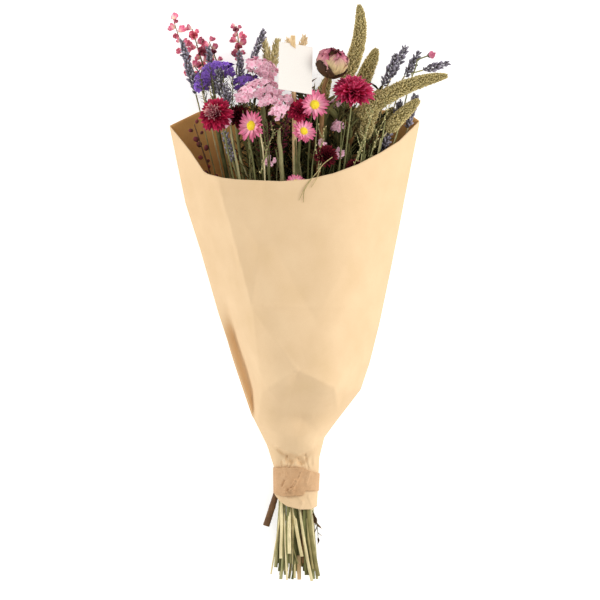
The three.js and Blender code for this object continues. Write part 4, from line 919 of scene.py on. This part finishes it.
def paper_wrap():
    """The sheet, folded to a sleeve. Its grid is finer in front and towards the neck."""
    rows, front_columns, back_columns = 190, 158, 52
    turn = np.concatenate([np.linspace(0, 0.5, front_columns, endpoint=False),
                           np.linspace(0.5, 1, back_columns, endpoint=False)])
    across = -np.cos(2 * np.pi * turn)
    front = turn <= 0.5
    hem = np.where(front, along(FRONT_HEM, across), along(BACK_HEM, across))
    rim = np.where(front, along(FRONT_RIM, across), along(BACK_RIM, across))
    share = np.linspace(0, 1, rows)[:, None]
    share = 0.6 * share + 0.4 * share ** 2
    y = hem + (rim - hem) * share
    outer = sheet_points(np.broadcast_to(turn, y.shape), y)
    depth = SHEET_THICKNESS + NECK_THICKNESS * (1 - smoothstep(y, 22, 60))
    inner = outer + inward(outer) * depth[..., None]
    return sleeve("kraft_paper_sheet", outer, inner, paper_outside, paper_inside_with_shade)


def paper_tape():
    """A strip of tape round the neck, pressed on by hand: crumpled in front, smooth at the back."""
    rows, columns = 30, 220
    turn = np.arange(columns) / columns
    across = -np.cos(2 * np.pi * turn)
    front = turn <= 0.5
    top = np.where(front, along(FRONT_TAPE_TOP, across), along(BACK_TAPE_TOP, across))
    foot = np.where(front, along(FRONT_TAPE_FOOT, across), along(BACK_TAPE_FOOT, across))
    y = foot + (top - foot) * np.linspace(0, 1, rows)[:, None]
    outer = sheet_points(np.broadcast_to(turn, y.shape), y)
    x = outer[..., 0]
    # Sharp-edged wrinkles of two sizes, then the folds that the fingers left.
    crumple = 1.3 * np.abs(rough(x, y, 9, 11)) + 0.7 * np.abs(rough(x, y, 3.4, 12))
    for start, end, rise, plus, minus in TAPE_RIDGES:
        crumple += crease(x, y, start, end, rise, plus, minus)
    for start, end in TAPE_GROOVES:
        crumple -= crease(x, y, start, end, GROOVE_DEPTH, GROOVE_REACH, GROOVE_REACH)
    crumple = np.maximum(crumple + 0.9, -0.4)  # the grooves don't reach the paper under the tape
    crumple = crumple * np.where(front, smoothstep(1 - np.abs(across), 0.03, 0.2), 0)
    away = -inward(outer)
    near = outer + away * 0.35
    far = outer + away * (TAPE_RISE + crumple)[..., None]
    far[..., 2] = np.where(~front & (far[..., 2] < 0.6), 0, far[..., 2])  # it rests on the floor
    return sleeve("gummed_paper_tape_strip", far, near, tape_paper, tape_paper)


settle(paper_wrap(), "kraft_paper", "kraft_paper_wrap")
settle(paper_tape(), "paper_tape", "paper_tape")
for name, finish in (("gift_card", white_card), ("card_stick", birch)):
    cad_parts[name].data.materials[0] = finish


# The stems. Each one runs from the cut end through the tie to its head, where the CAD part has it.

ends_of = {}  # for each CAD node: where its stems end, and which way they point there
HIGHEST_HEAD, CUT_ENDS, TRACE_STEP = 420, -104, 4.0  # along Y
LEAST_GIRTH = 3  # smaller sections are the rounded ends of stems
SAME_POINT = 0.02
NECK_LENGTH, NECK_RADIUS = 12, 1.3  # of the straight bit under a head
LONE_RADIUS, BUNCHED_RADIUS = 2.1, 1.45  # the most that a stem has
BUNCH_SPREAD = 1.4  # how far a stem lies from the middle of those that share its place


def lead(node, end, direction):
    """Notes the end of one more stem of a node."""
    ends_of.setdefault(node, []).append((Vector(end), Vector(direction).normalized()))


# Some stems share a CAD node with those of another head.
for name, node in (("left", "everlasting_left_stem"), ("middle", "everlasting_middle_stems"),
                   ("right", "everlasting_right_stem"), ("rim", "everlasting_middle_stems")):
    lead(node, *EVERLASTINGS[name][:2])
for name, node in (("left", "strawflower_left_stem"), ("shaded", "statice_purple_middle_stems"),
                   ("right", "strawflower_right_stem"), ("middle", "strawflower_middle_stem"),
                   ("low", "strawflower_low_stems"), ("rim", "strawflower_low_stems")):
    lead(node, *STRAWFLOWERS[name][:2])
for name, (path, _) in STATICES.items():
    node = f"statice_{name}_stems" if name == "purple_middle" else f"statice_{name}_stem"
    lead(node, sum((Vector(p) for p in path), Vector()) / len(path) + Vector((0, -19, -8)), (0, 1, 0.3))
for name, (base, bend, *_) in LARKSPURS.items():
    node = "larkspur_left_stems" if name in ("left", "behind") else "larkspur_short_stems"
    lead(node, base, Vector(bend) - Vector(base))
for name, spikes in LAVENDERS.items():
    for base, tip in spikes:
        lead(f"lavender_{name}", base, Vector(tip) - Vector(base))
for name, (base, bend, *_) in MILLETS.items():
    lead(f"setaria_{name}", base, Vector(bend) - Vector(base))
for base in ((-24, 410, 42), (1, 411, 42)):
    lead("pale_grass", base, (0, 1, 0))
lead("seed_twig", SEED_TWIG[0], (-0.3, 1, 0))
lead("peony_sepals_and_stem", *PEONY[:2])
lead("lavender_far", *PINK_BUD)


def cuts(triangles, y):
    """Where a CAD node crosses a plane along Y: the middle and the radius of each stem there."""
    above = triangles[:, :, 1] > y
    groups = []
    for triangle in triangles[above.any(1) & ~above.all(1)]:
        ends = []
        for a, b in ((0, 1), (1, 2), (2, 0)):
            p, q = triangle[a], triangle[b]
            if (p[1] > y) != (q[1] > y):
                point = p + (q - p) * (y - p[1]) / (q[1] - p[1])
                ends.append((point[0], point[2]))
        touching = [group for group in groups
                    if any(abs(e[0] - g[0]) + abs(e[1] - g[1]) < SAME_POINT
                           for segment in group for g in segment for e in ends)]
        groups = [group for group in groups if not any(group is t for t in touching)]
        groups.append([ends] + [segment for group in touching for segment in group])
    found = []
    for group in groups:
        lengths = [math.dist(*segment) for segment in group]
        girth = sum(lengths)
        if girth > LEAST_GIRTH:
            middle = [sum(n * (s[0][axis] + s[1][axis]) / 2 for s, n in zip(group, lengths)) / girth
                      for axis in (0, 1)]
            found.append((*middle, girth / (2 * math.pi)))
    return found


def traced(node):
    """The lines of a CAD node's stems, from each head down to the cut end, with their radii."""
    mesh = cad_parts[node].data
    points = np.empty(3 * len(mesh.vertices))
    corners = np.empty(len(mesh.loops), int)
    mesh.vertices.foreach_get("co", points)
    mesh.loops.foreach_get("vertex_index", corners)
    triangles = (points.reshape(-1, 3) / MM)[corners.reshape(-1, 3)]
    lines = [[(end, NECK_RADIUS), (end - NECK_LENGTH * direction, NECK_RADIUS)]
             for end, direction in ends_of[node]]
    for y in np.arange(HIGHEST_HEAD, CUT_ENDS, -TRACE_STEP):
        growing = [line for line in lines if y < line[-1][0].y - 2]
        found = cuts(triangles, y) if growing else []
        shared = {}
        for line in growing if found else ():
            last = line[-1][0]
            guess = last + (last - line[-2][0]) if len(line) > 3 else last
            near = min(range(len(found)), key=lambda k: math.dist((guess.x, guess.z), found[k][:2]))
            shared.setdefault(near, []).append((line, guess))
        for near, members in shared.items():
            x, z, radius = found[near]
            middle = sum((guess for _, guess in members), Vector()) / len(members)
            for line, guess in members:
                shift = guess - middle
                shift.length = min(shift.length, BUNCH_SPREAD)
                most = LONE_RADIUS if len(members) == 1 else BUNCHED_RADIUS
                line.append((Vector((x + shift.x, y, z + shift.z)), min(radius, most)))
    return lines


def stem_lines(node, dice):
    """A node's stems as paths, from the cut end up. Some are cut shorter, and each has its own colour."""
    lines = []
    for line in traced(node):
        points = [Vector(point) for point, _ in line]
        radii = [radius for _, radius in line]
        for _ in range(3):  # each round takes out more of the steps between sections
            points[2:-1] = [(a + 2 * b + c) / 4 for a, b, c in zip(points[1:], points[2:-1], points[3:])]
            radii[1:-1] = [(a + b + c) / 3 for a, b, c in zip(radii, radii[1:-1], radii[2:])]
        short = dice.choice([0, 0, 1, 2, 4])  # points of the path that are left out
        tint = dice.random()
        upper = 1.35 if node.startswith(("statice", "peony")) else 0.6  # how thick it is near the head
        lines.append([(p, 1.0, r * np.interp(p.y, (180, 330), (1, upper)), tint)
                      for p, r in zip(points[:len(points) - short], radii)][::-1])
    return lines


dice = random.Random(7)
finish_of = {"peony_sepals_and_stem": brown_stalk, "pale_grass": straw_stalk, "seed_twig": green_stalk}
stems_of = {}
for node in ends_of:
    lines = stem_lines(node, dice)
    own = dice.choice([green_stalk, straw_stalk])
    finish = green_stalk if node.startswith("statice") else finish_of.get(node, own)
    stems_of[node] = stalks(f"{node}_stalks", lines, finish, 3, 9, 1.6, 0.11, 1.18)
for node, piece in stems_of.items():
    if node.endswith(("_stem", "_stems")) and node != "peony_sepals_and_stem":
        settle(piece, "green_stem", node)


# The flower heads

def heart(name, radius, height, finish):
    """A small closed ball that the bracts or petals stand on. Millimetres."""
    profile = [(0.5 - 0.5 * math.cos(a), 0.02 + 0.5 * math.sin(a)) for a in np.linspace(0.15, 3, 7)]
    piece = turned_piece(name, profile, 12)
    raised = Matrix.Translation((0, 0, (height - radius) * MM))
    piece.data.transform(raised @ Matrix.Scale(2 * radius * MM, 4))
    piece.data.materials.append(finish)
    scene.collection.objects.link(piece)
    return piece


def strawflower(name, at, facing, radius, bracts_finish, seed):
    """Stiff pointed bracts in golden turns, closed over the middle and bent back under the rim."""
    unit = radius * MM
    polar, aim, size = (1.9, 1.95, 0.86) if name == "right" else (2.0, 1.9, 0.76)
    inner_finish = cream_tipped if name == "left" else bracts_finish
    bracts = rosette("bracts", bract, bracts_finish, unit, 105, 0.34, 0.42, (0.62, polar), (0.6, aim),
                     (0.52, size), 0.7, 0.13, seed)
    centre = rosette("centre", bract, inner_finish, unit, 64, 0.36, 0.44, (0.02, 0.92), (0.05, 0.8),
                     (0.3, 0.52), 0.5, 0.16, seed + 1)
    core = heart("heart", 0.4 * radius, 0.42 * radius, wine)
    head = join(f"strawflower_{name}_bracts", [bracts, centre, core])
    head.data.transform(aim_matrix(at, facing))
    settle(head, "crimson_bracts", f"strawflower_{name}")


def everlasting(name, at, facing, radius, seed):
    """Two rows of narrow papery petals round a domed yellow disc."""
    unit = radius * MM
    rows = []
    for row, (count, aim, length) in enumerate([(26, 1.45, 0.86), (24, 1.2, 0.76)]):
        rows.append(rosette(f"petals_{row}", ray_petal, pink_ray, unit, count, 0.14, 0.05, (1.5, 1.5),
                            (aim, aim), (length, length), 1.0, 0.13, seed + row))
    petals = join(f"everlasting_{name}_ray_petals", [*rows, heart("heart", 0.24 * radius, 0, sepal)])
    disc = rosette("disc_florets", disc_floret, yolk, unit, 90, 0.27, 0.02, (0.0, 1.2), (0.0, 1.1),
                   (0.09, 0.11), 0.5, 0.08, seed)
    core = heart("disc_core", 0.31 * radius, 0.02 * radius, yolk)
    disc = join(f"everlasting_{name}_disc_florets", [disc, core])
    for piece, slot, node in ((petals, "pink_petals", "petals"), (disc, "yellow_disc", "disc")):
        piece.data.transform(aim_matrix(at, facing))
        settle(piece, slot, f"everlasting_{name}_{node}")


# The shaded, low and rim strawflowers get the darkest bracts, partly as painted shade.
for k, (name, (at, facing, radius)) in enumerate(STRAWFLOWERS.items()):
    finish = {"left": crimson, "right": magenta, "middle": crimson}.get(name, wine)
    strawflower(name, at, facing, radius, finish, 11 * k + 3)
for k, (name, (at, facing, radius)) in enumerate(EVERLASTINGS.items()):
    everlasting(name, at, facing, radius, 13 * k + 5)


def statice(name, path, radius, seed):
    """Small ruffled funnels crowded along the upper side of a slim branch."""
    line = line_of(spline(path, 24), girth=lambda share: 1 - 0.35 * abs(2 * share - 1) ** 3)
    finish = pink_papery if name.startswith("pink") else violet_papery
    florets = crowd("florets", path_mesh("path", [line]), funnel, finish, 0.5, 0.4 * radius, 0.6 * radius,
                    1.4, seed, sector=3.3, facing=STATICE_FACING, jitter=0.34)
    calyxes = crowd("calyxes", path_mesh("path", [line]), short_leaf, dry_leaf, 0.8, 0.25 * radius,
                    0.7 * radius, 1.5, seed + 50, sector=3.4, facing=-STATICE_FACING)
    node = [f"statice_{name}"] if name in STATICES else []
    settle(join(f"statice_{name}_florets", [florets, calyxes]), "statice_" + name.split("_")[0], *node)


for k, (name, (path, radius)) in enumerate(STATICES.items()):
    statice(name, path, radius, 7 * k + 1)


def larkspur(name, base, bend, tip, count, size, seed):
    """Crumpled florets on a thin stalk, smaller towards its tip."""
    points = bezier(base, bend, tip, 20)
    line = line_of(points, girth=lambda share: 1 - 0.45 * share, thick=lambda share: 0.9 - 0.5 * share,
                   tint=0.3)
    run = sum((b - a).length for a, b in zip(points, points[1:]))
    florets = crowd("florets", path_mesh("path", [line]), floret, rose, 0.98 * run / count, 1.6,
                    0.97 * size, 1.15, seed)
    axis = stalks("axis", [line], green_stalk, 2, 7, 1.5)
    settle(join(f"larkspur_{name}_spike", [florets, axis]), "larkspur_pink", f"larkspur_{name}")


for k, (name, spike) in enumerate(LARKSPURS.items()):
    larkspur(name, *spike, 5 * k + 2)


def lavender(name, spikes, seed):
    """Small grey-lilac buds all round a thin spike, smaller towards its base and its tip."""
    lines = [line_of([Vector(base).lerp(Vector(tip), t) for t in np.linspace(0, 1, 16)],
                     girth=lambda share: min(1, 0.5 + 2.2 * share) * (1 - 0.5 * share ** 4),
                     thick=lambda share: 0.8 - 0.4 * share, tint=0.4) for base, tip in spikes]
    buds = crowd("buds", path_mesh("path", lines), lavender_bud, lilac, 0.56, 1.2, 4.9, 0.72, seed,
                 turn=0.29)
    parts = [buds, stems_of[f"lavender_{name}"]]
    settle(join(f"lavender_{name}_spikes", parts), "lavender", f"lavender_{name}")


for k, (name, spikes) in enumerate(LAVENDERS.items()):
    lavender(name, spikes, 3 * k + 1)


def millet_girth(share):
    """Blunt at the base, and tapered at the tip."""
    return min(1, 0.42 + 5 * share) * math.sqrt(max(0.02, 1 - share ** 3))


def millet(name, base, bend, tip, radius, seed):
    """A foxtail head: small hard grains packed round the stalk, with short bristles between them."""
    points = bezier(base, bend, tip, 40)
    line = line_of(points, girth=millet_girth)
    core_line = line_of(points, thick=lambda share: 0.8 * radius * millet_girth(share))
    core = stalks("core", [core_line], millet_core, 1.5, 10, 0)
    grains = crowd("grains", path_mesh("path", [line]), grain, millet_grain, 0.05, 0.8 * radius, 2.3,
                   1.0, seed)
    bristles = crowd("bristles", path_mesh("path", [line]), bristle, bleached_grass, 0.16, 0.8 * radius,
                     3.6, 0.8, seed + 9, jitter=0.4)
    nodes = [node for node in [f"setaria_{name}"] if node in stems_of]
    parts = [grains, bristles, core, *(stems_of[node] for node in nodes)]
    settle(join(f"millet_{name}_head", parts), "setaria", *nodes)


for k, (name, head) in enumerate(MILLETS.items()):
    millet(name, *head, 5 * k + 4)


def shell(name, radius, azimuth, half, low, high, ruffle, seed):
    """A crumpled petal wrapped round a ball, from one polar angle to another, and its thin inner side."""

    def place(layer, t, s):
        spread = half * math.sin(math.pi * min(0.82, 0.25 + 0.6 * t)) * s
        polar = low + (high - low) * t * (1 - 0.18 * s * s)
        wave = ruffle * t * noise.noise((3 * s, 4 * t, seed))
        out = (radius * (1 + wave) - 0.5 * layer) * MM
        angle = azimuth + spread + 0.5 * ruffle * math.sin(7 * t + seed)
        return (out * math.sin(polar) * math.cos(angle), out * math.sin(polar) * math.sin(angle),
                out * math.cos(polar))

    return two_layers(name, 9, 8, place)


def peony(at, facing, radius):
    """A half-open bud: crumpled petals wound round each other, in a cup of dark sepals."""
    middle = Matrix.Translation(Vector((0, 0, radius + 2.2)) * MM)
    petals = [shell("petal", radius * (0.88 + 0.012 * k), 2.4 * k, 0.8, 2.5, 0.2 + 0.05 * k, 0.3, k)
              for k in range(14)]
    sepals = []
    for k in range(7):
        azimuth = 1.9 * k + 0.4
        top = 1.0 + 0.2 * (k % 3) + 0.8 * max(0, math.cos(azimuth - 5.6))  # lower on the right
        sepals.append(shell("sepal", radius * 1.04 + 0.2 * k, azimuth, 0.85, 3.0, top, 0.16, 20 + k))
    faded = (3, 7, 10, 13)
    pieces = []
    fresh = [part for k, part in enumerate(petals) if k not in faded]
    for label, parts, finish in (("petals", fresh, peony_silk),
                                 ("faded", [petals[k] for k in faded], peony_cream),
                                 ("sepals", sepals, sepal)):
        whole = merged(f"peony_{label}", [(part, middle) for part in parts])
        whole.data.materials.append(finish)
        whole.data.transform(aim_matrix(at, facing))
        scene.collection.objects.link(whole)
        pieces.append(whole)
    settle(join("peony_crumpled_petals", pieces[:2]), "peony_pink", "peony_petals")
    parts = [pieces[2], stems_of["peony_sepals_and_stem"]]
    settle(join("peony_sepals_on_stem", parts), "peony_brown", "peony_sepals_and_stem")


peony(*PEONY)

bud = rosette("bracts", bract, pink_ray, MM, 60, 2.2, 1.6, (0.1, 2.2), (0.0, 0.7), (4.4, 4.6), 0.7, 0.14, 3)
bud = join("everlasting_bud", [bud, heart("heart", 2.6, 1.8, sepal)])
bud.data.transform(aim_matrix(*PINK_BUD))
settle(bud, "pink_petals", "pink_bud")

# Pale grass: flat spikelets on four plumes.
plumes = []
for plume, finish in ((PALE_GRASSES[:2], bleached_grass), (PALE_GRASSES[2:], faded_grass)):
    lines = [line_of([Vector(base).lerp(Vector(tip), t) for t in np.linspace(0, 0.93, 14)],
                     girth=lambda share: 1 - 0.55 * share) for base, tip in plume]
    plumes.append(crowd("plume", path_mesh("path", lines), spikelet, finish, 0.25, 2.8, 7.5, 0.55, 4,
                        jitter=0.28))
settle(join("pale_grass_plumes", [*plumes, stems_of["pale_grass"]]), "pale_grass", "pale_grass")

# A twig with dry seed pods, and stray blades of grass over the rim.
line = line_of(bezier(*SEED_TWIG, 20), thick=lambda share: 1.0 - 0.5 * share)
pods = crowd("pods", path_mesh("path", [line]), pod, seed_pod, 5.4, 3, 5.6, 0.9, 8)
twig = stalks("twig", [line], brown_stalk, 2, 6, 3, 0.012, 1.3)
settle(join("seed_twig_with_pods", [pods, twig, stems_of["seed_twig"]]), "seed_brown", "seed_twig")
lines = [line_of(spline(points, count), thick=lambda share: root - lost * share, tint=tint)
         for points, count, root, lost, tint in STRAY_GRASS]
settle(stalks("stray_grass_blades", lines, straw_stalk, 2, 6, 1), "straw_stem", "stray_grass")


# What grows between the flowers, and is too fine for the CAD part.

def leafy(name, lines, piece, finish, spacing, size, pitch, seed, slot="green_stem", thick=0.7):
    """Fine branches with leaves or buds all round them."""
    lines = [line_of(points, thick=lambda share: thick * (1 - 0.5 * share), tint=tint)
             for points, tint in lines]
    leaves = crowd("leaves", path_mesh("path", lines), piece, finish, spacing, 0.4, size, pitch, seed)
    branches = stalks("branches", lines, green_stalk, 3, 6, 4)
    settle(join(name, [leaves, branches]), slot)


def room_for(point, margin):
    """The point, moved where needed to keep clear of the paper."""
    x, y, z = point
    left, right = along(LEFT_EDGE, y) + margin, along(RIGHT_EDGE, y) - margin
    x = min(max(x, left + 1.5 * margin), right - 2 * margin)
    across = np.array([2 * (x - left + margin) / (right - left + 2 * margin) - 1])
    top = front_height(across, np.array([x]), np.array([y]))[0] - 1.7 * margin
    floor = back_height(across, np.array([y]))[0] + margin
    return Vector((x, y, max(floor, min(z, top))))


def scattered(count, low, high, lean, seed):
    """Upright branches that start in a box, and lean outwards as they rise."""
    chance = random.Random(seed)
    lines = []
    for _ in range(count):
        start = Vector([chance.uniform(a, b) for a, b in zip(low, high)])
        end = start + Vector((start.x * lean + chance.uniform(-12, 12), chance.uniform(60, 95),
                              chance.uniform(-4, 12)))
        middle = start.lerp(end, 0.5) + Vector((chance.uniform(-6, 6), 0, chance.uniform(-4, 6)))
        start, middle, end = (room_for(point, 12) for point in (start, middle, end))
        lines.append((bezier(start, middle, end, 16), chance.random()))
    return lines


lines = scattered(30, (-50, 262, 22), (70, 300, 62), 0.12, 1)
leafy("dark_foliage", lines, narrow_leaf, dry_leaf, 1.9, 15, 0.6, 2)
# The undergrowth lies deep in the wrap, and its leaves are painted dark as shade.
lines = scattered(22, (-40, 262, 12), (88, 306, 38), 0.14, 6)
leafy("dark_undergrowth", lines, short_leaf, painted_shade_leaf, 1.7, 15, 0.7, 5)
lines = scattered(16, (-62, 270, 16), (80, 312, 42), 0.14, 3)
leafy("brown_foliage", lines, short_leaf, brown_leaf, 2.4, 12, 0.7, 4)
lines = [(bezier(base, bend, tip, 14), tint) for base, bend, tip, tint in GREY_BRANCHES]
leafy("grey_foliage", lines, narrow_leaf, grey_leaf, 1.1, 9, 0.6, 9, slot="lavender")
for k, head in enumerate(MILLETS_BEHIND):
    millet(f"behind_{k}", *head, 40 + k)
# Of these, the low broad leaves lie deep in the wrap and are painted dark as shade.
for name, count, piece, finish, spacing, size, pitch, seed in (
        ("brown_broad_leaves", 10, broad_leaf, brown_leaf, 7, 19, 0.5, 18),
        ("wine_leaves", 10, short_leaf, wine_leaf, 0.9, 8, 0.9, 19),
        ("broad_leaves", 12, broad_leaf, green_leaf, 9, 30, 0.45, 12),
        ("low_broad_leaves", 10, broad_leaf, painted_shade_leaf, 8, 26, 0.6, 13)):
    leafy(name, [(bezier(*branch, count), 0.3) for branch in BRANCHES[name]], piece, finish, spacing, size,
          pitch, seed)
for k, (path, radius) in enumerate(STATICE_BITS):
    statice(f"pink_bit_{k}", path, radius, 70 + k)

# Bare stems among the leaves.
chance = random.Random(21)
lines = []
for k in range(34):
    x = -64 + 4.9 * k + chance.uniform(-3, 3)
    foot = Vector((0.8 * x, 280, chance.uniform(46, 84)))
    head = Vector((x + chance.uniform(-7, 7), chance.uniform(322, 372), foot.z + chance.uniform(-8, 6)))
    middle = foot.lerp(head, 0.5) + Vector((2, 0, 4))
    foot, middle, head = (room_for(point, 6) for point in (foot, middle, head))
    thick = chance.uniform(0.5, 1.3)
    lines.append(line_of(bezier(foot, middle, head, 14), thick=lambda share: thick * (1 - 0.4 * share),
                         tint=chance.random()))
settle(stalks("bare_stems", lines, green_stalk, 3, 7, 3, 0.07, 1.2), "green_stem")

# Thin branching panicles in front.
lines = []
for panicle in PANICLES:
    main = bezier(*panicle, 16)
    lines.append((main, 0.6))
    for k in range(3, 15, 3):
        side = 1 if k % 2 else -1
        twig_end = main[k] + Vector((side * 4, 12, 2))
        lines.append((bezier(main[k], main[k] + Vector((side * 3, 5, 1)), twig_end, 5), 0.7))
leafy("panicles", lines, lavender_bud, bleached_grass, 3.4, 2.0, 0.6, 15, slot="straw_stem", thick=0.5)

# Below the tie: straws that stand a little apart, a woody stub and dry leaf bits.
lines = []
for x, cut_end, z, radius, tint in STRAWS:
    points = bezier((x, -8, 21), (x, -32, 25), (*cut_end, z), 16)[::-1]
    lines.append(line_of(points, thick=lambda share: radius, tint=tint))
settle(stalks("loose_straws", lines, straw_stalk, 3, 9, 1.5, 0.05, 1.15), "straw_stem")
points = bezier((-16, -6, 17), (-22, -24, 16), (-29, -47, 14), 12)[::-1]
line = line_of(points, thick=lambda share: 3.4 - 0.5 * share, tint=0.6)
settle(stalks("woody_stub", [line], brown_stalk, 2, 12, 2, 0.02, 1.1), "seed_brown")
leafy("dry_leaf_bits", [(bezier((17, -31, 20), (20, -38, 20), (22, -46, 19), 8), 0.2),
                        (bezier((17, -32, 18), (22, -42, 17), (23, -58, 16), 10), 0.2)],
      short_leaf, brown_leaf, 4.5, 8, 0.4, 17, slot="seed_brown", thick=0.6)

# Camera, lights and floor

CAMERA_DISTANCE = 8.0
PICTURE_WIDTH = 0.6  # in metres, at the picture's middle
PICTURE_MIDDLE = (0.005, 0.18)
MIDDLE_HEIGHT = 0.05  # half way up the bouquet
SENSOR = 36
camera = bpy.data.objects.new("camera", bpy.data.cameras.new("camera"))
scene.collection.objects.link(camera)
camera.location = (*PICTURE_MIDDLE, CAMERA_DISTANCE + MIDDLE_HEIGHT)
camera.data.sensor_width = SENSOR
camera.data.lens = SENSOR * CAMERA_DISTANCE / PICTURE_WIDTH
scene.camera = camera
scene.view_settings.view_transform = "Standard"

# Even white light from all round.
world = bpy.data.worlds.new("studio")
scene.world = world
world.use_nodes = True
world.node_tree.nodes["Background"].inputs["Color"].default_value = (1, 1, 1, 1)
world.node_tree.nodes["Background"].inputs["Strength"].default_value = 0.79


def softbox(name, place, size, power):
    """A square light that is aimed at the bouquet."""
    light = bpy.data.lights.new(name, "AREA")
    light.shape = "SQUARE"
    light.size = size
    light.energy = power
    holder = bpy.data.objects.new(name, light)
    scene.collection.objects.link(holder)
    holder.location = place
    holder.rotation_mode = "QUATERNION"
    holder.rotation_quaternion = (Vector((0, 0.18, 0)) - Vector(place)).to_track_quat("-Z", "Y")


# A stronger box on the right models the paper's facets, and the one in front lifts the cut stems.
softbox("left_softbox", (-2.5, 0.9, 0.8), 1.2, 24)
softbox("right_softbox", (2.4, 0.9, 1.25), 1.2, 37)
softbox("front_softbox", (0.2, -2.0, 1.5), 1.2, 6)

# A white floor that is lit from within a little, so that the shadows on it stay pale.
floor_mesh = bpy.data.meshes.new("floor")
floor_mesh.from_pydata([(-40, -40, 0), (40, -40, 0), (40, 40, 0), (-40, 40, 0)], [], [(0, 1, 2, 3)])
floor = bpy.data.objects.new("floor", floor_mesh)
scene.collection.objects.link(floor)
floor_finish, floor_tree = new_material("backlit_white_acrylic", 0.9, 0.0)
floor_shader = floor_tree.nodes["Principled BSDF"]
floor_shader.inputs["Base Color"].default_value = (0.9, 0.9, 0.9, 1)
floor_shader.inputs["Emission Color"].default_value = (1, 1, 1, 1)
floor_shader.inputs["Emission Strength"].default_value = 0.42
floor_mesh.materials.append(floor_finish)
